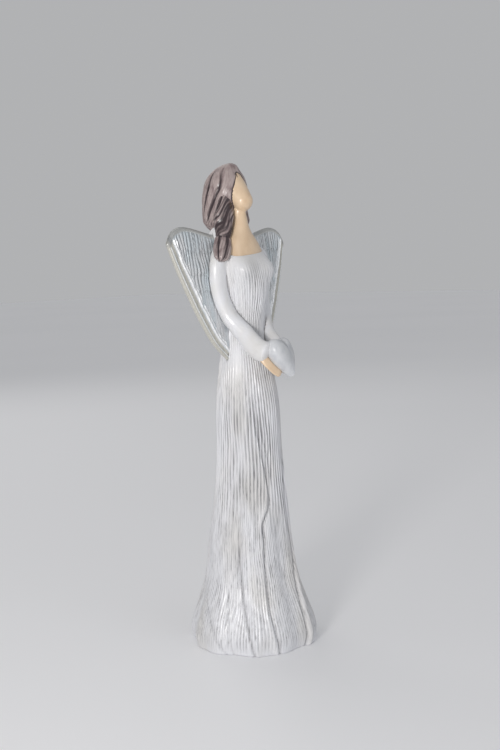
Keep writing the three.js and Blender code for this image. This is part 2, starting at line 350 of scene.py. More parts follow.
class Wire:
    """A socket whose value takes Python's operators, each adding a Math node."""

    def __init__(self, bench: "Bench", socket: bpy.types.NodeSocket) -> None:
        """Keeps the bench that the socket's node is on."""
        self.bench = bench
        self.socket = socket

    def math(self, operation: str, *values: Input) -> "Wire":
        """A Math node of that operation."""
        return self.bench.node("ShaderNodeMath", {"operation": operation}, dict(enumerate(values)))

    def __add__(self, other: Input) -> "Wire":
        """self + other."""
        return self.math("ADD", self, other)

    __radd__ = __add__

    def __mul__(self, other: Input) -> "Wire":
        """self * other."""
        return self.math("MULTIPLY", self, other)

    __rmul__ = __mul__

    def __sub__(self, other: Input) -> "Wire":
        """self - other."""
        return self.math("SUBTRACT", self, other)

    def __rsub__(self, other: Input) -> "Wire":
        """other - self."""
        return self.math("SUBTRACT", other, self)

    def held(self, low: float, high: float) -> "Wire":
        """0 at low, 1 at high, and clamped outside."""
        settings = {"clamp": True, "interpolation_type": "SMOOTHSTEP"}
        return self.bench.node("ShaderNodeMapRange", settings, {0: self, 1: low, 2: high})


class Bench:
    """The node tree of one material, with the one method that adds a node to it."""

    def __init__(self, name: str) -> None:
        """Starts an empty tree with its output.

        Args:
            name: what the material is called.
        """
        self.material = bpy.data.materials.new(name)
        self.material.use_nodes = True
        self.tree = self.material.node_tree
        self.tree.nodes.clear()
        self.output = self.tree.nodes.new("ShaderNodeOutputMaterial")

    def node(self, kind: str, settings: dict, inputs: dict, out: Union[int, str] = 0) -> Wire:
        """A node of any kind.

        Args:
            kind: the node's type.
            settings: its own settings, set first.
            inputs: values or wires by the name or number of a socket.
            out: the name or number of the output that is wanted.

        Returns:
            That output as a wire.
        """
        made = self.tree.nodes.new(kind)
        for name, value in settings.items():
            setattr(made, name, value)
        for name, value in inputs.items():
            if isinstance(value, Wire):
                self.tree.links.new(value.socket, made.inputs[name])
            else:
                made.inputs[name].default_value = value
        return Wire(self, made.outputs[out])

    def mix(self, amount: Input, first: Input, second: Input) -> Wire:
        """A blend of two colours."""
        inputs = {0: amount, 6: first, 7: second}
        return self.node("ShaderNodeMix", {"data_type": "RGBA"}, inputs, 2)

    def spot(self, stretch: Sequence[float]) -> Wire:
        """Where on the object a point lies, scaled along each axis."""
        spot = self.node("ShaderNodeTexCoord", {}, {}, "Object")
        return self.node("ShaderNodeVectorMath", {"operation": "MULTIPLY"}, {0: spot, 1: stretch})

    def grain(self, size: Sequence[float], detail: float = 3, rough: float = 0.5) -> Wire:
        """Noise whose grain has that size in millimetres along each axis.

        Args:
            size: along each axis, in millimetres.
            detail: how many finer layers it has.
            rough: how strong the finer layers are.

        Returns:
            A wire from 0 to 1.
        """
        stretch = [1 / (MM * value) for value in size]
        inputs = {"Vector": self.spot(stretch), "Scale": 1.0, "Detail": detail, "Roughness": rough}
        return self.node("ShaderNodeTexNoise", {}, inputs)

    def carried(self, name: str) -> Wire:
        """A number that the mesh carries."""
        return self.node("ShaderNodeAttribute", {"attribute_name": name}, {}, "Fac")

    def relief(self, height: Wire, depth: float) -> Wire:
        """A normal from a height, with a depth in millimetres."""
        inputs = {"Strength": 1.0, "Distance": depth * MM, "Height": height}
        return self.node("ShaderNodeBump", {}, inputs)

    def paint(self, fixed: dict, varied: dict) -> bpy.types.Material:
        """Ends the tree in one painted surface and gives the material.

        Args:
            fixed: inputs that are the same all over.
            varied: wires for the others.

        Returns:
            The finished material.
        """
        surface = self.node("ShaderNodeBsdfPrincipled", {}, {**fixed, **varied})
        self.tree.links.new(surface.socket, self.output.inputs["Surface"])
        return self.material


# Finishes

Colour = tuple[float, float, float, float]


def colour(red: int, green: int, blue: int) -> Colour:
    """A colour for a shader from the numbers that a paint chart gives.

    Args:
        red: from 0 to 255.
        green: the same.
        blue: the same.

    Returns:
        Red, green, blue and alpha as shares of light.
    """

    def plain_light(value: float) -> float:
        """The share of light behind one number of a chart."""
        share = value / 255
        return share / 12.92 if share <= 0.04045 else ((share + 0.055) / 1.055) ** 2.4

    return (plain_light(red), plain_light(green), plain_light(blue), 1)


@dataclass(frozen=True)
class Finish:
    """Paint brushed over cast resin under a thin clear coat."""

    name: str
    gloss: float  # the middle of its roughness
    patchy: float  # how far the strokes move the roughness
    depth: float  # of the strokes, in millimetres
    coat: float
    coat_gloss: float

    def coated(self, bench: Bench, tint: Wire, strokes: Wire, **more: Wire) -> bpy.types.Material:
        """The material.

        Args:
            bench: the tree that it is built on.
            tint: its colour.
            strokes: the strokes of the brush, from 0 to 1.
            more: other inputs of the surface.

        Returns:
            The finished material.
        """
        rough = strokes.held(0.3, 0.8) * self.patchy + (self.gloss - self.patchy / 2)
        varied = {"Base Color": tint, "Roughness": rough, "Normal": bench.relief(strokes, self.depth)}
        fixed = {"Coat Weight": self.coat, "Coat Roughness": self.coat_gloss}
        return bench.paint(fixed, {**varied, **more})


@dataclass(frozen=True)
class RobeWhite(Finish):
    """Glossy white paint over carved cloth, greyed by painted shade in its grooves, creases and
    turned-in neckline.
    """

    white: Colour = colour(224, 225, 229)
    warm: Colour = colour(215, 214, 213)
    # groove: the grey of the painted shade laid into the grooves and creases
    groove: Colour = colour(124, 124, 127)

    def material(self) -> bpy.types.Material:
        """The finish as a material.

        Returns:
            The finished material.
        """
        bench = Bench(self.name)
        base = bench.mix(bench.grain((26, 26, 60), 2).held(0.4, 0.7), self.white, self.warm)
        lines = bench.grain((0.46, 0.46, 36), 2).held(0.42, 0.62)
        # Painted shade: the deeper a place lies in a groove or crease, the greyer its white.
        tint = bench.mix(bench.carried("hollow") * (lines * 0.55 + 0.5), base, self.groove)
        return self.coated(bench, tint, bench.grain((0.5, 0.5, 9), 3, 0.6))


@dataclass(frozen=True)
class SleeveWhite(Finish):
    """The same white where the cast cloth is smooth, with faint long strokes and a painted shadow in the
    crease where the forearm lies on the robe.
    """

    white: Colour = colour(226, 227, 231)
    warm: Colour = colour(219, 218, 217)
    # groove: the dark brown of the painted shadow in the forearm's crease
    groove: Colour = colour(104, 98, 96)

    def material(self) -> bpy.types.Material:
        """The finish as a material.

        Returns:
            The finished material.
        """
        bench = Bench(self.name)
        base = bench.mix(bench.grain((14, 14, 30), 2).held(0.35, 0.7), self.white, self.warm)
        # Painted shadow: the sleeve darkens along the crease where the forearm lies on the robe.
        tint = bench.mix(bench.carried("hollow") * 0.9, base, self.groove)
        return self.coated(bench, tint, bench.grain((1.3, 1.3, 16), 2))


@dataclass(frozen=True)
class Mottled(Finish):
    """Smooth paint in two close tones that lie in soft patches, with a fine grain."""

    light: Colour
    deep: Colour
    patch: Sequence[float]  # size of a patch and of a grain, in millimetres
    speck: Sequence[float]
    detail: int

    def material(self) -> bpy.types.Material:
        """The finish as a material.

        Returns:
            The finished material.
        """
        bench = Bench(self.name)
        tint = bench.mix(bench.grain(self.patch, 3).held(0.35, 0.7), self.light, self.deep)
        return self.coated(bench, tint, bench.grain(self.speck, self.detail))


@dataclass(frozen=True)
class HairWash(Finish):
    """Taupe paint with a dark wash that has run into the grooves of the locks."""

    lock: Colour = colour(172, 157, 154)
    shade: Colour = colour(128, 110, 110)
    groove: Colour = colour(50, 36, 40)

    def material(self) -> bpy.types.Material:
        """The finish as a material.

        Returns:
            The finished material.
        """
        bench = Bench(self.name)
        lines = bench.grain((0.7, 0.7, 7), 3, 0.6)
        base = bench.mix(bench.grain((5, 5, 9), 3).held(0.4, 0.7), self.lock, self.shade)
        run = (bench.carried("hollow") + (lines - 0.5) * 0.35).held(0.1, 0.85)
        return self.coated(bench, bench.mix(run, base, self.groove), lines)


@dataclass(frozen=True)
class SilverPearl(Finish):
    """Silver pearl paint brushed down the feathers, darker in its grooves, warm on the band, with a
    painted white highlight along its ridges.
    """

    silver: Colour = colour(222, 224, 226)
    cool: Colour = colour(203, 212, 217)
    warm: Colour = colour(205, 203, 194)
    # worn: the white of the painted highlight along the ridges of the band
    worn: Colour = colour(250, 251, 252)
    groove: Colour = colour(128, 131, 134)
    metal: float = 0.42

    def material(self) -> bpy.types.Material:
        """The finish as a material.

        Returns:
            The finished material.
        """
        bench = Bench(self.name)
        strokes = bench.grain((0.5, 0.5, 8), 3, 0.65)
        base = bench.mix(bench.grain((8, 8, 20), 3).held(0.35, 0.7), self.silver, self.cool)
        # band: warm paint above 0, the painted highlight of the ridges below 0
        band = bench.carried("band")
        # Painted highlight: the silver turns white where the band value falls below 0.
        bright = bench.mix((0 - band).held(0.15, 0.8), base, self.worn)
        banded = bench.mix(band.held(0.1, 0.9), bright, self.warm)
        wash = (bench.carried("hollow") + (strokes - 0.5) * 0.3).held(0.12, 0.95)
        tint = bench.mix(wash * 0.85, banded, self.groove)
        return self.coated(bench, tint, strokes, Metallic=self.metal - wash * 0.3)


ROBE_WHITE = RobeWhite("robe_white", gloss=0.41, patchy=0.12, depth=0.18, coat=0.25, coat_gloss=0.16)
SLEEVE_WHITE = SleeveWhite("sleeve_white", gloss=0.34, patchy=0.1, depth=0.1, coat=0.2, coat_gloss=0.1)
HAIR_WASH = HairWash("hair_wash", gloss=0.365, patchy=0.15, depth=0.22, coat=0.3, coat_gloss=0.2)
SILVER_PEARL = SilverPearl(
    "silver_pearl", gloss=0.34, patchy=0.16, depth=0.13, coat=0.35, coat_gloss=0.15
)
SKIN_PEACH = Mottled(
    "skin_peach", gloss=0.33, patchy=0.08, depth=0.05, coat=0.25, coat_gloss=0.15,
    light=colour(228, 203, 173), deep=colour(217, 189, 157),
    patch=(11, 11, 16), speck=(0.8, 0.8, 1.2), detail=3,
)
HEART_SATIN = Mottled(
    "heart_satin", gloss=0.38, patchy=0.1, depth=0.06, coat=0.3, coat_gloss=0.22,
    light=colour(209, 211, 214), deep=colour(191, 194, 199),
    patch=(7, 7, 9), speck=(0.7, 0.7, 0.7), detail=2,
)


# Robe


@dataclass
class Fold:
    """One of the large soft waves round the hem."""

    count: int
    share: float
    start: float


@dataclass
class Crease:
    """A long crease that runs down the skirt beside a raised fold.

    route gives shares of the height and turns, from the top down.
    """

    route: Stations
    depth: float
    width: float
    lip: float = 0.0
    lip_side: int = 1
    fade: float = 0.12  # share of its length over which an end dies away
    lip_offset: float = 2.4  # in widths
    lip_width: float = 2.0

    def relief(self, turn: Array, share: Array, girth: Array) -> Array:
        """How far the skin moves out at turns and shares of the height, in millimetres.

        Args:
            turn: turns round the form.
            share: shares of the height.
            girth: the length round the robe at each place.

        Returns:
            Millimetres, positive outwards.
        """
        track = np.array(sorted(self.route))
        away = aside(turn, through(track.tolist())(share[:, 0])[:, :1]) * girth
        low, high = track[0, 0], track[-1, 0]
        fade = self.fade * (high - low)
        foot = smooth(share, low - fade, low + fade) if low > 0.01 else 1
        ends = foot * (1 - smooth(share, high - 2 * fade, high))
        raised = bell(away - self.lip_side * self.lip_offset * self.width, self.lip_width * self.width)
        return ends * (self.lip * raised - self.depth * bell(away, self.width))


@dataclass
class Robe:
    """The gown from its hem to the boat neck."""

    hem_width: float = 92.0
    hem_fold_depth: float = 2.2
    groove_count: int = 64
    groove_depth: float = 0.62
    thread_depth: float = 0.2
    hem_height: float = 28.0  # of the widest place, in thousandths
    hem_tuck: float = 1.0
    hem_rounding: Stations = ((0, 1.1), (0.35, 0.45), (1, 0.12), (2, 0))  # height and depth
    neck_room: float = 3.0
    neck_reach: float = 0.8  # share of the height where the rows begin to bend up to the neck
    # collar rows: how far in and how far up each lies, and how much painted shade greys it
    collar: Stations = ((0.25, 0.28, 0), (0.75, 0.3, 0), (1.3, 0, 0.6), (2.2, -1.2, 0.6), (4, -5, 0.6))
    bust_out: float = 14.0  # in thousandths, like its height and half height
    bust_at: Pair = (0.1, 780)
    bust_size: Pair = (0.055, 24)
    drifting: Grain = Grain(13, 42, 3.1)
    unevenness: Grain = Grain(9, 40, 9.7)
    thread: Grain = Grain(1.7, 27, 5.3)
    fibre: Grain = Grain(0.9, 13, 1.9)
    sway: float = 1.7
    sharpness: Pair = (3.4, 2.9)  # of the wide and the narrow grooves
    patchiness: Pair = (0.72, 0.62)  # the least share of the depth, and what is added to it
    fibre_share: float = 0.6
    flank_wear: float = 0.55
    hip_wear: float = 0.95
    fine_below: Pair = (0.2, 0.36)  # shares of the height
    deepest: Pair = (0.38, 0.15)
    chest: Pair = (0.75, 0.8)
    bodice: Pair = (0.64, 0.68)
    flanks: Sequence[float] = (0.59, 0.91)  # turns where sleeves and body have rubbed the cloth
    flank_width: float = 0.06
    hips: Sequence[float] = (0.57, 0.93)
    hip_width: float = 0.085
    hip_at: Pair = (0.598, 0.058)
    sides: int = 512
    rows: int = 112
    folds: Sequence[Fold] = (Fold(6, 0.6, 0.8), Fold(11, 0.4, 2.1))
    fold_top: float = 0.4
    outline: Stations = (
        (129, 100, 97, 100), (214, 88, 81, 88), (383, 71, 69, 63), (500, 69, 65, 58), (574, 61, 54, 51),
        (657, 48, 40, 36), (740, 55, 52, 34), (795, 62, 43, 33), (820, 56, 32, 31), (838, 37, 23, 27),
        (850, 20, 16, 20),
    )
    neckline: Stations = (
        (0.0, 826), (0.25, 833), (0.5, 820), (0.56, 811), (0.62, 807.5), (0.7, 809.5), (0.8, 813.5),
        (0.9, 819.5), (1.0, 826),
    )
    creases: Sequence[Crease] = (
        Crease(
            [
                [0.55, 0.652], [0.464, 0.655], [0.406, 0.674], [0.354, 0.694], [0.32, 0.704],
                [0.298, 0.702], [0.269, 0.677], [0.254, 0.665], [0.224, 0.668], [0.168, 0.662],
                [0.09, 0.66], [0.0, 0.674],
            ],
            depth=1.35, width=0.95, lip=0.9, lip_side=-1,
        ),
        Crease([[0.29, 0.69], [0.262, 0.669], [0.232, 0.668]], 1.3, 0.8),
        Crease([[0.5, 0.665], [0.44, 0.684], [0.4, 0.706], [0.34, 0.722]], 0.8, 0.8, 0.3),
        Crease([[0.5, 0.69], [0.43, 0.722], [0.35, 0.727]], 0.7, 0.7),
        Crease(
            [[0.26, 0.564], [0.17, 0.569], [0.115, 0.577], [0.064, 0.592], [0.0, 0.61]],
            depth=1.35, width=1.0, lip=0.9,
        ),
        Crease(
            [[0.42, 0.842], [0.323, 0.812], [0.2, 0.81], [0.142, 0.79], [0.087, 0.777], [0, 0.765]],
            depth=1.7, width=1.05, lip=1.3,
        ),
        Crease([[0.15, 0.418], [0.1, 0.44], [0.059, 0.487], [0.0, 0.535]], 0.8, 1.1, 0.4),
        Crease([[0.14, 0.527], [0.072, 0.534], [0.0, 0.552]], 0.7, 1.0, 0.3),
        Crease([[0.33, 0.2], [0.22, 0.22], [0.1, 0.205], [0.0, 0.18]], 1.0, 1.2, 0.6),
        Crease([[0.28, 0.08], [0.16, 0.06], [0.0, 0.035]], 1.1, 1.2, 0.7, -1),
        Crease([[0.24, 0.33], [0.12, 0.35], [0.0, 0.375]], 0.9, 1.3, 0.5),
        Crease([[0.3, 0.93], [0.17, 0.91], [0.0, 0.885]], 1.1, 1.2, 0.7),
    )

    def bust(self, turn: Array, z: Array) -> Array:
        """How far the bust stands out of the bodice.

        Args:
            turn: turns round the form.
            z: heights in millimetres.

        Returns:
            Millimetres.
        """
        across = (np.abs(aside(turn, FACE)) - self.bust_at[0]) / self.bust_size[0]
        above = (z - self.bust_at[1] * MILLE) / (self.bust_size[1] * MILLE)
        return self.bust_out * MILLE * np.exp(-(across**2) - above**2)

    def worn_away(self, turn: Array, share: Array) -> Array:
        """From 0 to 1, how much of the carving is left at turns and shares of the height.

        Args:
            turn: turns round the form.
            share: shares of the height.

        Returns:
            1 where nothing is worn away.
        """
        ragged = 0.012 * np.cos(3 * TURN * turn)
        left = 1 - smooth(share, self.chest[0] + ragged, self.chest[1])
        for flank in self.flanks:
            beside = smooth(share, *self.bodice) * bell(turn - flank, self.flank_width)
            left = left * (1 - self.flank_wear * beside)
        for hip in self.hips:
            beside = bell(turn - hip, self.hip_width) * bell(share - self.hip_at[0], self.hip_at[1])
            left = left * (1 - self.hip_wear * beside)
        return smooth(share, 0.0, 0.03) * left

    def grooves(self, points: Array, turn: Array, share: Array) -> tuple[Array, Array]:
        """The carved grooves of the cloth.

        Args:
            points: places on the plain form.
            turn: turns round the figure.
            share: shares of the height.

        Returns:
            How far the skin moves out in millimetres, and how hollow it is.
        """
        angle = TURN * turn
        drift = 0.8 * np.sin(share * 23 + 3 * np.sin(2 * angle)) + 0.5 * np.sin(share * 61 + 5 * angle)
        drift = drift + self.sway * self.drifting.at(points)
        wide = np.abs(np.cos(0.5 * self.groove_count * angle + 0.5 * drift)) ** self.sharpness[0]
        narrow = np.abs(np.cos(self.groove_count * angle + drift + 0.3)) ** self.sharpness[1]
        fine = 1 - smooth(share, *self.fine_below)
        carved = (1 - fine) * wide + fine * (0.72 * narrow + 0.1)
        least, added = self.patchiness
        uneven = least + added * np.clip(self.unevenness.at(points) + 0.4, 0, 1)
        uneven = uneven * (1 + 0.35 * bell(share - self.deepest[0], self.deepest[1]))
        threads = self.thread.at(points) + self.fibre_share * self.fibre.at(points)
        show = self.worn_away(turn, share)
        height = self.groove_depth * (carved - 0.4) * uneven + self.thread_depth * threads
        # This hollow becomes painted shade in the robe's white, greyest deep in the grooves.
        hollow = np.clip((0.55 - carved) * uneven - threads * 0.6, 0, 1)
        return height * show, hollow * show

    def shell(self) -> Shell:
        """The robe's skin, with its hem rounded and its neckline turned in.

        Returns:
            The closed shell.
        """
        hem = self.hem_width / 2
        foot_rows = [[0] + [hem - self.hem_tuck] * 3, [self.hem_height * MILLE] + [hem] * 3]
        turn = turns(self.sides)
        neck = through(self.neckline)(turn[0])[:, 0] * MILLE
        low = neck.min() - self.neck_room
        foot, tucked = np.array(self.hem_rounding).T
        level = np.append(foot, np.linspace(foot[-1], low, self.rows)[1:])[:, None]
        z = level + smooth(level, self.neck_reach * low, low) * (neck - low)[None, :]
        share = z / HEIGHT
        angle = TURN * turn
        half = through([*foot_rows, *in_mille(self.outline)])(z)
        side, deep = oval(half, angle)
        radius = np.hypot(side, deep)
        wave = sum(fold.share * np.cos(fold.count * angle + fold.start) for fold in self.folds)
        swing = wave * self.hem_fold_depth * (1 - smooth(share, 0, self.fold_top))
        carved, hollow = self.grooves(np.stack([side, deep, z], 2), turn, share)
        creased = sum(crease.relief(turn, share, TURN * radius) for crease in self.creases)
        edge = np.append(-tucked, np.zeros(len(level) - len(tucked)))[:, None]
        grown = 1 + (swing + self.bust(turn, z) + carved + creased + edge) / radius
        grid = np.stack([side * grown, deep * grown, z], 2)
        # Painted shade: the creases add to the grey of the grooves.
        hollow = np.clip(hollow + np.clip(-creased, 0, 1.2) * 0.5, 0, 1)
        into, up, dark = np.array(self.collar).T[..., None]
        shrunk = 1 - into / radius[-1]
        lip = np.stack([grid[-1, :, 0] * shrunk, grid[-1, :, 1] * shrunk, grid[-1, :, 2] + up], 2)
        return Shell(np.vstack([grid, lip]), Part.ROBE, np.vstack([hollow, dark + 0 * turn]))


@dataclass
class WingPad:
    """A soft pad of the robe behind a shoulder, where a wing is set."""

    radii: Sequence[float] = (25, 20, 42)
    middle: Sequence[float] = (44.5, 26.5, 828)
    sides: int = 36
    rows: int = 22

    def shell(self, side: int) -> Shell:
        """The pad's skin.

        Args:
            side: -1 for the right and 1 for the left.

        Returns:
            The closed shell.
        """
        tilt = np.linspace(-math.pi / 2, math.pi / 2, self.rows)[1:-1, None]
        angle = TURN * turns(self.sides)
        unit = np.stack(
            [np.cos(tilt) * np.cos(angle), np.cos(tilt) * np.sin(angle), np.sin(tilt) + 0 * angle], 2
        )
        middle = place(side * self.middle[0], *self.middle[1:])
        return Shell(unit * np.array(self.radii) * MILLE + middle, Part.PAD)


# Neck, head and arms


@dataclass
class Neck:
    """Shoulders, breastbone and neck, inside the neckline of the robe."""

    outline: Stations = (
        (770, 57, 42, 32, 0), (795, 60, 41.5, 32, 0), (808, 58, 36.5, 31, 0), (820, 55, 31, 30, 0),
        (838, 44, 26.2, 28, 0), (855, 28.5, 21, 21, 0.5), (868, 21, 18, 18, 1), (890, 16.4, 16, 16, 3),
        (918, 17, 16, 16, 9), (936, 17, 15, 15, 14),
    )
    inset: float = 0.3
    sides: int = 84
    rows: int = 52

    def shell(self) -> Shell:
        """The skin of the neck and shoulders.

        Returns:
            The closed shell.
        """
        z = np.linspace(self.outline[0][0], self.outline[-1][0], self.rows)[:, None] * MILLE
        half = through(in_mille(self.outline))(z[:, 0])[:, None]
        angle = TURN * turns(self.sides)
        x, y = oval(half - self.inset, angle)
        return Shell(np.stack([x, y + half[..., 3], z + 0 * x], 2), Part.NECK)


@dataclass
class Head:
    """A blank egg drawn over a small ball at the chin and a large one at the skull."""

    chin: Sequence[float] = (0, -7, 921)
    chin_radius: float = 21.4
    skull: Sequence[float] = (0, 27, 957)
    skull_radius: float = 31.4
    sides: int = 72
    rows: int = 44

    def shell(self) -> Shell:
        """The skin of the head.

        Returns:
            The closed shell.
        """
        start, end = place(*self.chin), place(*self.skull)
        axis = end - start
        length = np.linalg.norm(axis)
        axis = axis / length
        small, large = self.chin_radius * MILLE, self.skull_radius * MILLE
        join = math.asin((small - large) / length)
        share = (1 + math.sin(join)) / 2
        low = int(self.rows * share * 0.9)
        below = np.linspace(-math.pi / 2, join, low + 1)[1:]
        above = np.linspace(join, math.pi / 2, self.rows - low)[:-1]
        radius = np.append(small * np.cos(below), large * np.cos(above))
        along = np.append(small * np.sin(below), length + large * np.sin(above))
        side = np.array([1.0, 0, 0])
        up = np.cross(axis, side)
        angle = TURN * turns(self.sides)[..., None]
        ring = np.cos(angle) * side + np.sin(angle) * up
        grid = start + along[:, None, None] * axis + radius[:, None, None] * ring
        return Shell(grid, Part.HEAD)


@dataclass
class Heart:
    """The padded heart held before the figure."""

    width: float = 28.0
    height: float = 29.0
    thickness: float = 16.4
    lean: float = 26.0
    yaw: float = 16.0
    middle: Sequence[float] = (-1, -101, 600)
    fullness: float = 0.76
    dent: Grain = Grain(7, 7, 2.2)
    flank: float = 2.0
    tip_share: float = 0.6
    sides: int = 120
    rows: int = 60

    def world(self, spots: Array) -> Array:
        """Places from the heart's own across, up and forward.

        Args:
            spots: places in millimetres along the heart's own axes.

        Returns:
            The same places in the frame.
        """
        lean = Matrix.Rotation(math.radians(-self.lean), 3, "X")
        turned = Matrix.Rotation(math.radians(self.yaw), 3, "Z") @ lean
        own = np.stack([spots[..., 0], -spots[..., 2], spots[..., 1]], -1)
        return own @ np.array(turned).T + place(*self.middle)

    def shell(self, grow: float = 0.0, dents: float = 0.0) -> Shell:
        """The heart's skin, larger by grow all round, with soft dents of that depth.

        Args:
            grow: how much larger it is all round, in millimetres.
            dents: how deep the soft dents are.

        Returns:
            The closed shell.
        """
        angle = TURN * ((1.5 - turns(self.sides)) % 1)
        across = 0.5 * np.sign(np.sin(angle)) * np.abs(np.sin(angle)) ** self.flank
        lobes = 5 * np.cos(2 * angle) + 2 * np.cos(3 * angle) + np.cos(4 * angle)
        up = (13 * np.cos(angle) - lobes + 2.5) / 29
        tilt = math.pi * np.linspace(0, 1, self.rows + 2)[1:-1, None]
        spread = np.sin(tilt) ** self.fullness
        taper = self.tip_share + (1 - self.tip_share) * np.clip(up * spread + 0.6, 0, 1)
        swell = np.sign(np.cos(tilt)) * np.abs(np.cos(tilt)) ** self.fullness * taper
        own = np.stack(
            [
                across * (self.width + 2 * grow) * spread,
                up * (self.height + 2 * grow) * spread,
                -(self.thickness / 2 + grow) * swell,
            ],
            2,
        )
        grid = self.world(own)
        if dents:
            middle = self.world(np.zeros(3))
            reach = grid - middle
            length = np.linalg.norm(reach, axis=2, keepdims=True)
            grid = grid + reach / length * dents * self.dent.at(grid)[..., None]
        return Shell(grid, Part.HAND)


@dataclass
class Arms:
    """Both sleeves and both hands, which hold the heart from behind."""

    heart: Heart
    shoulder: Stations = ((57, 8, 826), (69, 6.5, 783), (66, 5, 734), (54, -9, 686))
    forearm: Stations = ((-45, -35, 654), (37, -31, 652))
    wrist: Stations = ((-42, -68, 622), (31, -52, 630))
    cuff_at: Stations = ((-0.45, 0.075, 0.125), (0.34, 0.37, 0.14))
    sleeve: Stations = (
        (0, 13, 12), (0.07, 19.5, 17), (0.2, 20.5, 16), (0.5, 19.5, 16.5), (0.8, 18.5, 21),
        (0.93, 19, 22), (1, 20, 22),
    )
    far_sleeve: Stations = (
        (0, 13, 12), (0.07, 19.5, 17), (0.2, 20.5, 16), (0.5, 17.5, 15), (0.8, 15, 15.5), (1, 16, 19),
    )
    palm: Stations = ((0, 14, 9), (0.4, 14.5, 7.5), (1, 13, 6.5))
    fingers: int = 4
    finger_groove: float = 0.14

    def elbow_to_cuff(self, side: int) -> list[Array]:
        """The middle of a forearm, its wrist and where its sleeve ends, at the flank of the heart.

        Args:
            side: -1 for the right and 1 for the left.

        Returns:
            The three places.
        """
        one = 0 if side < 0 else 1
        size = np.array([self.heart.width, self.heart.height, self.heart.height])
        cuff = place(*self.heart.middle) + size * self.cuff_at[one]
        return [place(*self.forearm[one]), place(*self.wrist[one]), cuff]

    def sleeve_carve(self, turn: Array, t: Array) -> tuple[Array, Array]:
        """Faint long strokes and a few soft folds at the elbow.

        Args:
            turn: turns round the form.
            t: shares of the length.

        Returns:
            A scale of the outline, and how hollow the place is.
        """
        strokes = 0.012 * np.cos(TURN * (5 * turn + 0.8 * t))
        folds = 0.02 * bell(t - 0.62, 0.12) * np.cos(TURN * (8 * t + turn))
        return 1 + strokes + folds, 0 * turn * t

    def finger_carve(self, turn: Array, t: Array) -> tuple[Array, Array]:
        """Grooves between the fingers."""
        apart = smooth(t, 0.4, 0.6) * (1 - np.cos(TURN * self.fingers * turn)) / 2
        return 1 - self.finger_groove * apart, apart * 0.5

    def sleeve_shell(self, side: int) -> Shell:
        """A sleeve.

        Args:
            side: -1 for the right and 1 for the left.

        Returns:
            The closed shell.
        """
        path = [place(side * x, y, z) for x, y, z in self.shoulder] + self.elbow_to_cuff(side)
        sizes = self.sleeve if side < 0 else self.far_sleeve
        return Limb(path, (1, 0, 0), sizes, 48, 84, 0.03).shell(Part.SLEEVE, self.sleeve_carve)

    def hand_shell(self, side: int) -> Shell:
        """A hand.

        Args:
            side: -1 for the right and 1 for the left.

        Returns:
            The closed shell.
        """
        wrist = self.elbow_to_cuff(side)[1]
        behind = -self.heart.thickness / 2
        width, height = self.heart.width, self.heart.height
        own = np.array(
            [
                [side * 0.37 * width, 0, behind + 3 * MILLE],
                [side * 0.27 * width, -0.17 * height, behind + 5 * MILLE],
                [side * 0.1 * width, -0.32 * height, behind + 8 * MILLE],
            ]
        )
        path = [wrist, *self.heart.world(own)]
        limb = Limb(path, (-side * 0.6, 0.35, 0.7), self.palm, 44, 44, 0.16)
        return limb.shell(Part.HAND, self.finger_carve)

    def shells(self) -> list[Shell]:
        """Sleeves and hands of both sides."""
        return [make(side) for make in (self.sleeve_shell, self.hand_shell) for side in (-1, 1)]


# Hair


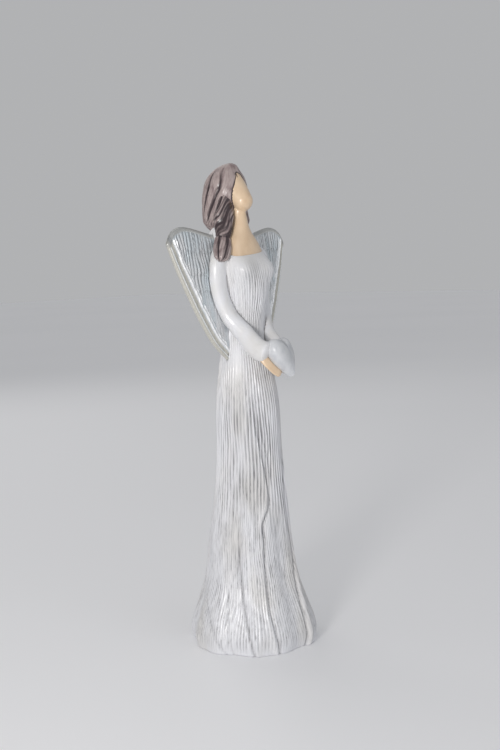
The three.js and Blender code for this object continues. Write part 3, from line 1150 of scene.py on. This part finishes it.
@dataclass
class Hair:
    """Long hair swept back from the face, in locks that fan out from the crown."""

    outline: Stations = (
        (848, 45, 13, 10, 10), (860, 50, 29, 19, 18), (873, 54, 38, 34, 26.5), (908, 48, 41, 46, 35),
        (940, 43, 40, 49, 38.5), (968, 40, 34.5, 41, 34), (985, 35, 25, 26, 23.5),
        (996, 26.5, 13, 13, 13), (1000, 22, 2, 2, 2),
    )
    squareness: float = 2.7
    lock_width: float = 0.058  # of a turn, at the nape
    lock_start: float = 0.77
    fan: float = 1.15
    groove: float = 1.25
    strand: float = 0.17
    tip: float = 2.2
    tip_height: float = 26 * MILLE
    side_lift: float = 9 * MILLE
    lift_height: float = 70 * MILLE
    sides_from: Pair = (0.05, 0.14)  # turns from the nape, like the next two
    rear: Pair = (0.06, 0.19)
    temple: Pair = (0.318, 0.346)
    fanned: Pair = (888, 975)  # heights in thousandths, like the next three
    curled: Pair = (868, 892)
    crown: Pair = (968, 998)
    curl_level: float = 895
    curl_count: float = 21  # in a turn
    curl_slope: float = 0.24
    strand_count: int = 4  # in a lock
    roundness: Pair = (0.75, 0.8)  # of the locks and of the curls; less is sharper grooves
    skin: float = 0.45  # the least that the hair stands out
    sway: Grain = Grain(14, 22, 4.4)
    rear_sway: Grain = Grain(11, 30, 6.6)
    rear_wear: Grain = Grain(6, 16, 2.7)
    strand_sway: Grain = Grain(5, 12, 7.1)
    curl_sway: Grain = Grain(6, 5, 8.2)
    sides: int = 212
    rows: int = 90

    def locks(self, turn: Array, z: Array, points: Array) -> tuple[Array, Array]:
        """The relief of the locks.

        Args:
            turn: turns round the head, with the back at a quarter.
            z: heights in millimetres.
            points: places on the plain form.

        Returns:
            How deep the skin lies in millimetres, and how hollow it is.
        """
        beside = np.abs(aside(turn, NAPE))
        opened = self.fan * risen(z, *self.fanned) + 0.02
        gathered = (np.sqrt(1 + 4 * opened * beside) - 1) / (2 * opened)
        phase = gathered / self.lock_width + self.lock_start
        phase = phase + 0.16 * np.sin(1.9 * phase + 0.5) + 0.25 * self.sway.at(points)
        rear = 1 - smooth(beside, *self.rear)
        phase = phase + 0.4 * rear * np.sin(0.13 * z + 1.1) + 0.7 * rear * self.rear_sway.at(points)
        crest = np.abs(np.sin(math.pi * phase)) ** self.roundness[0]
        worn = 1 - rear * np.clip(0.35 + 0.6 * self.rear_wear.at(points), 0, 0.8)
        crest = 1 - (1 - crest) * worn * (1 - smooth(beside, *self.temple))
        strands = np.cos(TURN * (self.strand_count * phase + 0.8 * self.strand_sway.at(points)))
        curls = beside * self.curl_count - (z - self.curl_level * MILLE) * self.curl_slope
        curls = np.abs(np.sin(math.pi * (curls + 0.9 * self.curl_sway.at(points)))) ** self.roundness[1]
        low = 1 - risen(z, *self.curled)
        crown = 1 - 0.75 * risen(z, *self.crown)
        crest = (1 - low) * crest + low * (0.35 + 0.65 * curls)
        depth = (1 - crest) * self.groove * crown + self.strand * (1 - strands) * crown * (1 - 0.5 * low)
        hollow = (1 - crest) ** 1.6 * 1.25 * crown + 0.14 * (1 - strands) * crown
        return depth, np.clip(hollow, 0, 1)

    def shell(self) -> Shell:
        """The skin of the hair.

        Returns:
            The closed shell.
        """
        foot, top = self.outline[0][0] * MILLE, self.outline[-1][0] * MILLE
        level = foot + (top - foot) * (1 - np.cos(np.linspace(0.03, math.pi - 0.02, self.rows))) / 2
        z = level[:, None]
        half = through(in_mille(self.outline))(level)[:, None]
        turn = turns(self.sides)
        across, along = np.cos(TURN * turn), np.sin(TURN * turn)
        power = self.squareness
        square = (np.abs(across) ** power + np.abs(along) ** power) ** (-1 / power)
        x = half[..., 1] * across * square
        y = np.where(along < 0, half[..., 2], half[..., 3]) * along * square
        radius = np.hypot(x, y)
        points = np.stack([x, y + half[..., 0], z + 0 * x], 2)
        depth, hollow = self.locks(turn, z + 0 * x, points)
        reach = 1 - np.minimum(depth - self.skin, 0.5 * radius) / radius
        beside = np.abs(aside(turn, NAPE))
        lifted = smooth(beside, *self.sides_from) * (1 - smooth(z, foot, foot + self.lift_height))
        drop = self.tip * (1 - smooth(z, foot, foot + self.tip_height)) * hollow
        drop = drop + self.side_lift * lifted
        grid = np.stack([x * reach, y * reach + half[..., 0], z + drop], 2)
        return Shell(grid, Part.HAIR, hollow)


@dataclass
class Tress:
    """A tress over the right shoulder, twisted down to where it is gathered, then in fat locks."""

    path: Stations = (
        (-27, 14, 938), (-34, 13, 905), (-42, 10, 868), (-55, 4, 838), (-70, -6, 815), (-78, -9, 799),
    )
    sizes: Stations = (
        (0, 8, 6), (0.13, 14, 9.5), (0.33, 20, 12.5), (0.6, 16.5, 11), (0.8, 18.5, 11),
        (0.92, 16.5, 10), (1, 12, 8),
    )
    tie_width: float = 0.016
    tie_depth: float = 0.1
    combed: int = 19  # fine lines round the fat locks
    splits: Stations = ((0.14, 0.034), (0.31, 0.022), (0.49, 0.034), (0.64, 0.022), (0.83, 0.03))
    far_path: Stations = ((28, 24, 926), (35, 19, 902), (37.5, 17, 882), (34, 24, 860))
    far_sizes: Stations = ((0, 8, 8), (0.3, 7.5, 8), (1, 8.5, 8))
    twist: float = 2.2
    locks: int = 3
    groove: float = 0.16
    gather: float = 0.62  # share of the length

    def carve(self, turn: Array, t: Array) -> tuple[Array, Array]:
        """Twisted locks above the gather, straight fat ones below it.

        Args:
            turn: turns round the form.
            t: shares of the length.

        Returns:
            A scale of the outline, and how hollow the place is.
        """
        wound = self.locks * turn - self.twist * t + 0.12 * np.sin(11 * t + 2 * TURN * turn)
        twisted = np.abs(np.sin(math.pi * wound)) ** 0.6
        strand = np.abs(np.sin(math.pi * (2 * wound + 0.35 * np.sin(9 * t)))) ** 0.8
        hairs = 0.5 + 0.5 * np.cos(TURN * (4 * wound + 0.4 * np.sin(14 * t)))
        bend = 0.008 * np.sin(1.8 * (t - self.gather) / (1 - self.gather) * math.pi)
        along = turn + bend * (t > self.gather)
        fat = np.ones(np.broadcast(turn, t).shape)
        for edge, width in self.splits:
            fat = np.minimum(fat, np.abs(aside(along, edge) / width / 2) ** 0.6)
        combed = 0.5 + 0.5 * np.cos(TURN * (self.combed * along + 0.3 * np.sin(12 * t)))
        below = smooth(t, self.gather - 0.015, self.gather + 0.025)
        crest = (1 - below) * (0.55 * twisted + 0.45 * strand) + below * fat
        line = (1 - below) * hairs + below * combed
        tie = bell(t - self.gather - 0.02 * np.sin(TURN * turn), self.tie_width)
        split = self.groove * (1 + 2.6 * smooth(t, 0.8, 1))
        scale = 1 - split * (1 - crest) - 0.042 * (1 - line) - self.tie_depth * tie
        hollow = (1 - crest) ** 1.1 * 1.2 + 0.42 * (1 - line) + 0.35 * tie
        return scale + 0.05, np.clip(hollow + 0.17 * (1 - below), 0, 1)

    def shell(self) -> Shell:
        """The tress's skin.

        Returns:
            The closed shell.
        """
        path = [place(*spot) for spot in self.path]
        limb = Limb(path, (0.75, -0.6, 0.3), self.sizes, 96, 100, 0.05)
        return limb.shell(Part.TRESS, self.carve)

    def far_locks(self) -> Shell:
        """Wavy ends of the hair on the left of the neck.

        Returns:
            The closed shell.
        """
        def waves(turn: Array, t: Array) -> tuple[Array, Array]:
            """Two bumps along the lock, with a groove between them."""
            wave = 0.5 + 0.5 * np.cos(TURN * (4.5 * t + turn))
            return 0.88 + 0.14 * wave, (1 - wave) * 0.5

        path = [place(*spot) for spot in self.far_path]
        return Limb(path, (1, 0, 0.2), self.far_sizes, 28, 40, 0.2).shell(Part.TRESS, waves)


# Wings


@dataclass
class Wing:
    """A wing with three tiers of carved feathers inside a raised rim."""

    root: float = 34 * MILLE
    lean: float = 0.108
    sweep: float = 0.076
    back: float = 26 * MILLE
    thickness: float = 5.2
    edge: float = 1.4
    thinning: float = 0.35
    tiers: Sequence[float] = (18.5, 34.6, 46.6, 59.0, 71.0)
    tier_step: float = 0.55
    barb: float = 2.7
    barb_depth: float = 0.38
    feather: float = 6.2
    band: float = 7.9
    ridge: Pair = (1.15, 0.95)  # height and half width, like the next two
    ridge_inside: Pair = (0.8, 0.6)
    outer_line_raised: Pair = (0.45, 0.42)
    ridge_gap: float = 2.1
    outer_line_at: float = 2.2
    rim_below: Pair = (2.6, 4.4)  # where the rim of the top edge gives way to the feathers
    scallop_depth: Pair = (2.6, 3.0)  # of the rows of feathers, even and uneven
    barb_slant: float = 0.05
    barb_sway: float = 1.6
    bristle_depth: float = 0.16
    calm: Pair = (34, 56)  # distances below the top where the barbs fade, and the tiers
    calm_tiers: Pair = (44, 60)
    scallop: Grain = Grain(9, 9, 6.1)
    drift: Grain = Grain(5, 14, 3.3)
    bristle: Grain = Grain(0.9, 9, 12.4)
    unevenness: Grain = Grain(7, 18, 9.9)
    wear: Grain = Grain(1.6, 4, 15.2)
    waver: Grain = Grain(6, 7, 19.4)
    comb: Grain = Grain(1.1, 16, 23.1)
    columns: int = 120
    rows: int = 150
    top_line: Stations = ((0, 0.08), (0.27, 0.045), (0.66, 0), (0.88, 0.03), (1, 0.12))
    outer_line: Stations = (
        (1, 0.12), (0.86, 0.335), (0.665, 0.585), (0.52, 0.74), (0.36, 0.88), (0.14, 1),
    )
    root_line: Stations = ((0, 0.08), (0, 0.35), (0.03, 0.65), (0.08, 0.87), (0.14, 1))

    def line(self, points: Stations, share: Array) -> Array:
        """A smooth edge through points, in millimetres out and down, at shares of its points.

        Args:
            points: shares of the span and of the length.
            share: where along the points.

        Returns:
            One row for each share.
        """
        spots = np.array(points, float)
        out = self.root + (WING_SPAN / 2 - self.root) * spots[:, 0]
        at = np.linspace(0, 1, len(points))
        return through(np.column_stack([at, out, spots[:, 1] * WING_LENGTH]).tolist())(share)

    def spots(self, across: Array, down: Array) -> Array:
        """Where the feather lines cross the rows, as distances out and down.

        Args:
            across: shares of the width.
            down: shares of the length.

        Returns:
            Both distances in millimetres.
        """
        inner, outer = self.line(self.root_line, down), self.line(self.outer_line, down)
        start, end = self.line(self.root_line, 0.0), self.line(self.outer_line, 0.0)
        rise = self.line(self.top_line, across) - (start + (end - start) * across[..., None])
        return inner + (outer - inner) * across[..., None] + rise * (1 - down[..., None])

    def feathers(self, flat: Array, inside: Array, under: Array) -> tuple[Array, Array]:
        """The tiers and barbs.

        Args:
            flat: distances from the middle of the back and below the top of the wing.
            inside: distances from the outer edge.
            under: distances below the top edge.

        Returns:
            How far the skin moves out in millimetres, and how hollow it is.
        """
        out, fall = flat[..., 0], flat[..., 2]
        even, uneven = self.scallop_depth
        scallop = even * np.abs(np.sin(math.pi * out / self.feather)) + uneven * self.scallop.at(flat)
        level = fall + scallop
        starts = [0.0, *self.tiers]
        step = 0 * out
        for low, high in zip(starts, starts[1:]):
            share = np.clip((level - low) / (high - low), 0, 1)
            step = np.where((level >= low) & (level < high), share**1.5, step)
        line = out + self.barb_slant * fall + self.barb_sway * self.drift.at(flat)
        barbs = np.cos(TURN * line / self.barb)
        bold = (1 - 0.72 * smooth(fall, *self.calm)) * smooth(out, self.root + 1, self.root + 14)
        bold = bold * smooth(inside, self.band + 1, self.band + 3) * smooth(under, *self.rim_below)
        bold = bold * (0.6 + 0.7 * np.clip(0.5 + self.unevenness.at(flat), 0, 1))
        tiers = smooth(inside, self.band + 1.2, self.band + 2.6) * smooth(under, 2.0, 3.2)
        tiers = tiers * (1 - 0.6 * smooth(fall, *self.calm_tiers))
        carved = bold * (self.barb_depth * barbs + self.bristle_depth * self.bristle.at(flat))
        hollow = bold * np.clip(-barbs, 0, 1) * 0.9 + 0.2 * bell(step - 0.02, 0.08) * tiers
        return carved + self.tier_step * (step - 0.4) * tiers, hollow

    def border(self, flat: Array, inside: Array, under: Array) -> tuple[Array, Array, Array]:
        """The band outside the feathers, with its ridge and its rim.

        Args:
            flat: distances from the middle of the back and below the top of the wing.
            inside: distances from the outer edge.
            under: distances below the top edge.

        Returns:
            How far the skin moves out, how hollow it is, and how strong the painted highlight is along
            the ridges.
        """
        broken = np.clip(0.8 + 0.9 * self.wear.at(flat), 0.1, 1.25)
        wavy = inside - self.band - 0.9 * self.waver.at(flat)
        inner = self.ridge_inside[0] * bell(wavy - self.ridge_gap, self.ridge_inside[1]) * broken
        ridge = self.ridge[0] * bell(wavy, self.ridge[1]) + inner
        ridge = ridge * (0.5 + 0.5 * broken) * smooth(under, *self.rim_below)
        height, width = self.outer_line_raised
        line = bell(inside - self.outer_line_at, width) * smooth(under, 3.0, 6.0)
        rim = height * line + 0.5 * (1 - smooth(under, 2.2, 3.6))
        trough = 0.35 * bell(inside - 0.58 * self.band, 1.6) * smooth(under, 3, 5)
        edge = 0.6 * (1 - smooth(under, 1.8, 3.6)) + 0.25 * bell(under - 3.4, 0.6)
        combed = np.clip(0.22 + 0.5 * self.comb.at(flat), 0, 1) * bell(inside - 0.55 * self.band, 2.2)
        # The third value is the painted highlight along the ridges and the outer line.
        return ridge + rim - trough, edge + combed, np.clip(1.1 * ridge, 0, 1) + 1.7 * line

    def relief(self, flat: Array, inside: Array, under: Array) -> tuple[Array, Array, Array]:
        """The carving of the front.

        Args:
            flat: distances from the middle of the back and below the top of the wing.
            inside: distances from the outer edge.
            under: distances below the top edge.

        Returns:
            How far the skin moves out, how hollow it is, and from -1 to 1 how warm its paint is, with
            the painted highlight of the ridges below 0.
        """
        carved, hollow = self.feathers(flat, inside, under)
        raised, dark, worn = self.border(flat, inside, under)
        hollow = hollow + dark
        warm = (1 - smooth(inside, self.band - 2.2, self.band - 0.9)) * (1 - 0.4 * hollow)
        warm = np.maximum(warm, 0.6 * (1 - smooth(under, 2.6, 4.0)))
        # worn is the painted highlight: it clears the groove darkening and is taken off the warmth.
        hollow = np.clip(hollow * (1 - 0.9 * np.clip(worn, 0, 1)), 0, 1)
        return carved + raised, hollow, warm - worn

    def shell(self, grow: float = 0.0, carved: bool = True) -> tuple[Shell, Array]:
        """The left wing's skin, larger by grow, and where its paint is warm or carries the painted
        highlight.

        Args:
            grow: how much larger it is all round, in millimetres.
            carved: leaves the feathers out when false.

        Returns:
            The shell, and a number from -1 to 1 for each of its points.
        """
        count = self.columns if carved else 24
        rows = self.rows if carved else 40
        column = tapered(count, 0.35)
        back = column[:: 2 if carved else 1]
        back = np.append(back, 1.0) if back[-1] < 1 else back
        across = np.append(column, back[::-1])[::-1][None, :]
        front = np.append(np.ones(count), np.zeros(len(back)))[::-1][None, :]
        across, front, down = np.broadcast_arrays(across, front, tapered(rows, 0.25)[:, None])
        spot = self.spots(across, down)
        width = self.spots(across * 0 + 1, down)[..., 0] - self.spots(across * 0, down)[..., 0]
        crest = self.spots(across, down * 0)[..., 1]
        relief, hollow, warm = 0 * down, 0 * down, 0 * down
        if carved:
            inside = (1 - across) * width * 0.88
            flat = np.stack([spot[..., 0], 0 * spot[..., 0], spot[..., 1]], -1)
            relief, hollow, warm = self.relief(flat, inside, spot[..., 1] - crest)
            relief = np.where(front > 0, relief, 0.45 * relief)
            hollow = np.where(front > 0, hollow, 0.7 * hollow)
        full = rounded(across, 0.1) * rounded(down, 0.08) * (1 - self.thinning * down)
        body = (self.thickness / 2 - 0.55 - self.edge / 2) * full + relief * np.minimum(full * 1.6, 1)
        ends = np.zeros(rows)[:, None] + grow
        soft = np.minimum(rounded(across, 0.012), rounded(down, 0.012))
        thick = self.edge / 2 * (0.35 + 0.65 * soft if carved else 1) + body + ends
        out = spot[..., 0] + grow * (2 * across - 1)
        z = WING_TOP - spot[..., 1] - grow * (2 * down - 1)
        y = self.back + self.lean * (z - WING_TOP) + self.sweep * out
        grid = np.stack([out, y + np.where(front > 0, -thick, thick), z], 2)
        return Shell(grid, Part.ROBE, hollow), warm


# Casting


class Joint(Enum):
    """How two forms of the casting meet.

    Each has the width of its fillet in millimetres, and the height in thousandths under which
    the fillet dies away into a crease.
    """

    SHOULDER = (Part.ROBE, Part.SLEEVE, 3.2, 790)
    BACK = (Part.ROBE, Part.PAD, 4.0, 0)
    ARMPIT = (Part.SLEEVE, Part.PAD, 3.0, 0)
    JAW = (Part.NECK, Part.HEAD, 3.2, 0)
    LOCK = (Part.HAIR, Part.TRESS, 2.4, 893)


class Seam(Enum):
    """Where the line between two forms is painted dark, how wide and how dark: a wash in the hair, and
    painted shade where the sleeve and the tip of the tress lie on the robe.
    """

    HAIRLINE = (Part.HEAD, Part.HAIR, 1.6, 1.0)
    TEMPLE = (Part.HEAD, Part.TRESS, 1.1, 0.95)
    NAPE = (Part.NECK, Part.HAIR, 1.0, 0.9)
    NECK_TRESS = (Part.NECK, Part.TRESS, 1.0, 0.95)
    TRESS_ROOT = (Part.HAIR, Part.TRESS, 0.8, 0.75)
    # painted shade on the robe under the tip of the tress
    TRESS_TIP = (Part.ROBE, Part.TRESS, 0.8, 0.95)
    # painted shadow along the crease where the forearm lies on the robe
    FOREARM = (Part.ROBE, Part.SLEEVE, 0.9, 0.95)


TOO_FAR = 99.0  # in millimetres, for points that no path along the skin has reached
PULL = 0.6  # share of the way to the middle of its neighbours that a point moves in one pass
# The painted shadow of the forearm and the wash at the root of the tress die away over these heights.
FADES = {Seam.FOREARM: (765, 795), Seam.TRESS_ROOT: (875, 893)}  # heights that a wash dies over


def read(items: bpy.types.bpy_prop_collection, name: str, width: int = 1, kind: type = int) -> Array:
    """One property of all of a mesh's points, edges, corners or faces, in rows of that width.

    Args:
        items: those points, edges, corners or faces.
        name: the property.
        width: how many numbers each has.
        kind: int, or float for places.

    Returns:
        The values.
    """
    values = np.empty(len(items) * width, np.int32 if kind is int else kind)
    items.foreach_get(name, values)
    return values.reshape(-1, width) if width > 1 else values


class Skin:
    """A joined skin as arrays: its points, its edges, and the forms that meet at each."""

    def __init__(self, mesh: bpy.types.Mesh) -> None:
        """Reads the mesh.

        Args:
            mesh: the joined skin.
        """
        self.spots = read(mesh.vertices, "co", 3, float) / MM
        self.start, self.end = read(mesh.edges, "vertices", 2).T
        parts = np.repeat(read(mesh.polygons, "material_index"), read(mesh.polygons, "loop_total"))
        self.worn = np.zeros((len(self.spots), len(Part)), bool)
        self.worn[read(mesh.loops, "vertex_index"), parts] = True
        self.beside = np.zeros((len(self.start), len(Part)), bool)
        self.beside[read(mesh.loops, "edge_index"), parts] = True
        self.length = np.linalg.norm(self.spots[self.start] - self.spots[self.end], axis=1)

    def far_from(self, first: Part, second: Part, steps: int) -> Array:
        """How far along the skin each point is from where two forms meet.

        Args:
            first: one form.
            second: the other.
            steps: how many edges are followed.

        Returns:
            Millimetres, and TOO_FAR beyond those edges.
        """
        far = np.where(self.worn[:, first] & self.worn[:, second], 0.0, TOO_FAR)
        for _ in range(steps):
            np.minimum.at(far, self.start, far[self.end] + self.length)
            np.minimum.at(far, self.end, far[self.start] + self.length)
        return far

    def fillets(self) -> Array:
        """How much each point is smoothed, from 0 to 1.

        Returns:
            One number for each point.
        """
        z = self.spots[:, 2]
        weight = np.zeros(len(z))
        hair = self.worn[:, [Part.HAIR, Part.TRESS]].any(axis=1)
        bare = self.worn[:, [Part.HEAD, Part.NECK, Part.ROBE]].any(axis=1)
        for joint in Joint:
            first, second, width, foot = joint.value
            soft = 1 - smooth(self.far_from(first, second, 24), 0.25 * width, width)
            kept = ~(hair & ~bare) if joint is Joint.LOCK else hair
            weight = np.maximum(weight, np.where(kept, 0, soft * risen(z, foot - 25, foot + 5)))
        return weight

    def creases(self) -> Array:
        """The edges where two forms meet sharply.

        Returns:
            True or false for each edge.
        """
        sharp = self.beside.sum(axis=1) > 1
        for joint in Joint:
            first, second, _, foot = joint.value
            low = self.spots[:, 2] < foot * MILLE
            met = self.beside[:, first] & self.beside[:, second]
            sharp &= ~met | (low[self.start] & low[self.end])
        return sharp

    def dark_seams(self) -> Array:
        """How dark the seams are painted: a wash in the hair, and painted shade where the sleeve and the
        tip of the tress lie on the robe.

        Returns:
            A number from 0 to 1 for each point.
        """
        # A wash in the hair seams, and painted shade in the seams of the robe and sleeve.
        wash = np.zeros(len(self.spots))
        for seam in Seam:
            first, second, width, depth = seam.value
            near = depth * (1 - smooth(self.far_from(first, second, 12), 0.3 * width, width))
            if seam in FADES:
                near = near * (1 - risen(self.spots[:, 2], *FADES[seam]))
            wash = np.maximum(wash, near)
        return wash

    def smoothed(self, weight: Array, passes: int) -> Array:
        """The points, each drawn a number of times towards the middle of those beside it.

        Args:
            weight: how much each point moves.
            passes: how many times.

        Returns:
            The new places in millimetres.
        """
        a, b, count = self.start, self.end, len(self.spots)
        ring = (np.bincount(a, minlength=count) + np.bincount(b, minlength=count))[:, None]
        spots = self.spots.copy()
        for _ in range(passes):
            columns = [
                np.bincount(a, axis[b], count) + np.bincount(b, axis[a], count) for axis in spots.T
            ]
            spots += (weight * PULL)[:, None] * (np.stack(columns, 1) / ring - spots)
        return spots


@dataclass
class Casting:
    """Shells joined into one closed skin, with soft fillets where the clay was smoothed."""

    name: str
    shells: list[Shell] = field(default_factory=list)
    cutters: list[Shell] = field(default_factory=list)
    passes: int = 26

    def joined(self) -> bpy.types.Mesh:
        """All the shells as one mesh, less the seats.

        Returns:
            The mesh in metres.
        """
        slots = len(Part)
        body, *others = [shell.made(f"{self.name}_{i}", slots) for i, shell in enumerate(self.shells)]
        seats = [shell.made(f"{self.name}_seat_{i}", slots) for i, shell in enumerate(self.cutters)]
        for operation, tools in (("UNION", others), ("DIFFERENCE", seats)):
            for tool in tools:
                step = body.modifiers.new("join", "BOOLEAN")
                step.operation = operation
                step.solver = "MANIFOLD"
                step.object = tool
        mesh = bpy.data.meshes.new_from_object(body.evaluated_get(bpy.context.evaluated_depsgraph_get()))
        for thing in [body, *others, *seats]:
            bpy.data.objects.remove(thing)
        return mesh

    def hollows(self, mesh: bpy.types.Mesh) -> Array:
        """For each point of the mesh, the hollow of the nearest point of the shells.

        Args:
            mesh: the joined skin.

        Returns:
            One number for each point.
        """
        corners = [shell.corners() for shell in self.shells]
        points = np.vstack([part[0] for part in corners]) * MM
        hollow = np.concatenate([part[1] for part in corners])
        tree = kdtree.KDTree(len(points))
        for i, point in enumerate(points.tolist()):
            tree.insert(point, i)
        tree.balance()
        return np.array([hollow[tree.find(vertex.co)[1]] for vertex in mesh.vertices])

    def soften(self, mesh: bpy.types.Mesh) -> None:
        """Smooths the skin near the joints, keeps the other seams sharp and paints them dark, with a
        wash in the hair and painted shade on the robe and sleeve.

        Args:
            mesh: the joined skin.
        """
        skin = Skin(mesh)
        hollow = mesh.attributes.get("hollow") or mesh.attributes.new("hollow", "FLOAT", "POINT")
        # The painted seam shade and the hair wash are added to the hollow of the grooves.
        hollow.data.foreach_set("value", np.maximum(self.hollows(mesh), skin.dark_seams()))
        mesh.vertices.foreach_set("co", (skin.smoothed(skin.fillets(), self.passes) * MM).ravel())
        sharp = mesh.attributes.get("sharp_edge") or mesh.attributes.new("sharp_edge", "BOOLEAN", "EDGE")
        sharp.data.foreach_set("value", skin.creases())

    def cast(self, materials: Sequence[bpy.types.Material]) -> bpy.types.Object:
        """The finished casting with a material for each of its parts.

        Args:
            materials: one for each of its parts.

        Returns:
            The object.
        """
        mesh = self.joined()
        work = bmesh.new()
        work.from_mesh(mesh)
        bmesh.ops.triangulate(work, faces=[face for face in work.faces if len(face.verts) > 4])
        work.to_mesh(mesh)
        work.free()
        self.soften(mesh)
        for i, material in enumerate(materials):
            mesh.materials[i] = material
        mesh.polygons.foreach_set("use_smooth", np.ones(len(mesh.polygons), bool))
        mesh.update()
        mesh.name = self.name
        return shown(self.name, mesh)


# The object and its setting


@dataclass
class Angel:
    """The whole figurine."""

    seat_gap: float = 0.12
    heart: Heart = field(default_factory=Heart)
    wing: Wing = field(default_factory=Wing)

    def figure(self) -> bpy.types.Object:
        """The casting of robe, arms, head and hair.

        Returns:
            The object.
        """
        tress = Tress()
        shells = [Robe().shell(), WingPad().shell(-1), WingPad().shell(1), Neck().shell()]
        shells += [Head().shell(), *Arms(self.heart).shells()]
        shells += [Hair().shell(), tress.shell(), tress.far_locks()]
        seat = self.wing.shell(self.seat_gap, carved=False)[0]
        seats = [self.heart.shell(self.seat_gap), seat, flipped(seat)]
        painted = (finish.material() for finish in (ROBE_WHITE, SLEEVE_WHITE, SKIN_PEACH, HAIR_WASH))
        robe, sleeve, skin, hair = painted
        materials = [robe, sleeve, sleeve, skin, skin, skin, hair, hair]
        return Casting("angel_figure", shells, seats).cast(materials)

    def held_heart(self) -> bpy.types.Object:
        """The padded heart.

        Returns:
            The object.
        """
        thing = self.heart.shell(dents=0.22).made("padded_heart")
        thing.data.materials[0] = HEART_SATIN.material()
        return thing

    def wings(self) -> list[bpy.types.Object]:
        """The right wing and the left one.

        Returns:
            Both objects.
        """
        shell, warm = self.wing.shell()
        pearl = SILVER_PEARL.material()
        made = []
        for name, form, tone in (
            ("right_wing", flipped(shell), warm[:, ::-1]),
            ("left_wing", shell, warm),
        ):
            thing = form.made(name)
            thing.data.materials[0] = pearl
            # band carries the warm paint and, below 0, the painted highlight of the ridges.
            band = thing.data.attributes.new("band", "FLOAT", "POINT")
            band.data.foreach_set("value", np.append(tone.ravel(), [0, 0]))
            made.append(thing)
        return made


def hand_over(piece: bpy.types.Object, node: str) -> None:
    """Lets a piece stand for its solid and reports it.

    Args:
        piece: the visible piece.
        node: the solid that it stands for.
    """
    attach(piece, "root")
    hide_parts(node)
    faces = sum(len(polygon.vertices) - 2 for polygon in piece.data.polygons)
    log.info("%s stands for %s with %d triangles", piece.name, node, faces)


@dataclass(frozen=True)
class Studio:
    """A plain pale floor, soft light and the camera."""

    floor: Colour = colour(236, 236, 238)
    air: Colour = colour(226, 227, 229)
    air_strength: float = 0.58
    floor_glow: float = 0.08
    azimuth: float = -50.0
    distance: float = 812.0
    eye_height: float = 276.0
    pitch: float = 5.8
    roll: float = 2.0
    focal_length: float = 53.57
    aim: Pair = (0.0036, 0.0036)
    floor_reach: float = 8.0
    lit: Vector = field(default_factory=lambda: Vector((0, 0, 0.2)))
    lamps: dict = field(
        default_factory=lambda: {
            "key": ((-1.1, -0.43, 0.37), 0.2, 6.6, colour(255, 252, 249)),
            "fill": ((-0.2, -1.6, 1.3), 1.2, 2.3, colour(246, 249, 255)),
            "behind": ((0.5, 1.4, 1.2), 1.2, 4.0, colour(255, 253, 250)),
        }
    )

    def lay_floor(self) -> None:
        """A wide flat floor."""
        mesh = bpy.data.meshes.new("floor")
        reach = self.floor_reach
        corners = [(-reach, -reach, 0), (reach, -reach, 0), (reach, reach, 0), (-reach, reach, 0)]
        mesh.from_pydata(corners, [], [(0, 1, 2, 3)])
        bench = Bench("floor_paint")
        clouds = bench.grain((900, 900, 900), 2).held(0.3, 0.7)
        tint = bench.mix(clouds * 0.2, self.floor, self.air)
        glow = {"Emission Color": self.air, "Emission Strength": self.floor_glow}
        mesh.materials.append(bench.paint({"Roughness": 0.55, **glow}, {"Base Color": tint}))
        shown("floor", mesh)

    def set_lights(self) -> None:
        """A small key light at the side, a fill in front, a light behind, and pale air."""
        for name, (spot, size, power, tone) in self.lamps.items():
            lamp = bpy.data.lights.new(name, "AREA")
            lamp.size, lamp.energy, lamp.color = size, power, tone[:3]
            thing = shown(name, lamp)
            thing.location = spot
            thing.rotation_euler = (self.lit - Vector(spot)).to_track_quat("-Z", "Y").to_euler()
        world = bpy.data.worlds.new("air")
        world.use_nodes = True
        air = world.node_tree.nodes["Background"]
        air.inputs["Color"].default_value = self.air
        air.inputs["Strength"].default_value = self.air_strength
        bpy.context.scene.world = world

    def set_camera(self) -> None:
        """The camera at the viewing angle."""
        angle, pitch, roll = (math.radians(v) for v in (self.azimuth, self.pitch, self.roll))
        away = Vector((math.sin(angle), -math.cos(angle), 0))
        forward = -away * math.cos(pitch) - Vector((0, 0, math.sin(pitch)))
        right = forward.cross(Vector((0, 0, 1))).normalized()
        up = right.cross(forward)
        right, up = (
            right * math.cos(roll) - up * math.sin(roll),
            up * math.cos(roll) + right * math.sin(roll),
        )
        forward = (forward + right * self.aim[0] + up * self.aim[1]).normalized()
        right = forward.cross(up).normalized()
        up = right.cross(forward)
        lens = bpy.data.cameras.new("camera")
        lens.lens = self.focal_length
        lens.clip_start = 0.01
        camera = shown("camera", lens)
        turned = Matrix((right, up, -forward)).transposed().to_4x4()
        spot = away * self.distance * MM + Vector((0, 0, self.eye_height * MM))
        camera.matrix_world = Matrix.Translation(spot) @ turned
        bpy.context.scene.camera = camera


def main() -> None:
    """Builds the studio and the figurine."""
    logging.basicConfig(level=logging.INFO, format="%(message)s")
    studio = Studio()
    studio.set_camera()
    studio.lay_floor()
    studio.set_lights()
    bpy.context.scene.view_settings.view_transform = "Standard"
    angel = Angel()
    hand_over(angel.figure(), "figure")
    hand_over(angel.held_heart(), "heart")
    for wing, node in zip(angel.wings(), ("wing_right", "wing_left")):
        hand_over(wing, node)


if __name__ == "__main__":
    main()
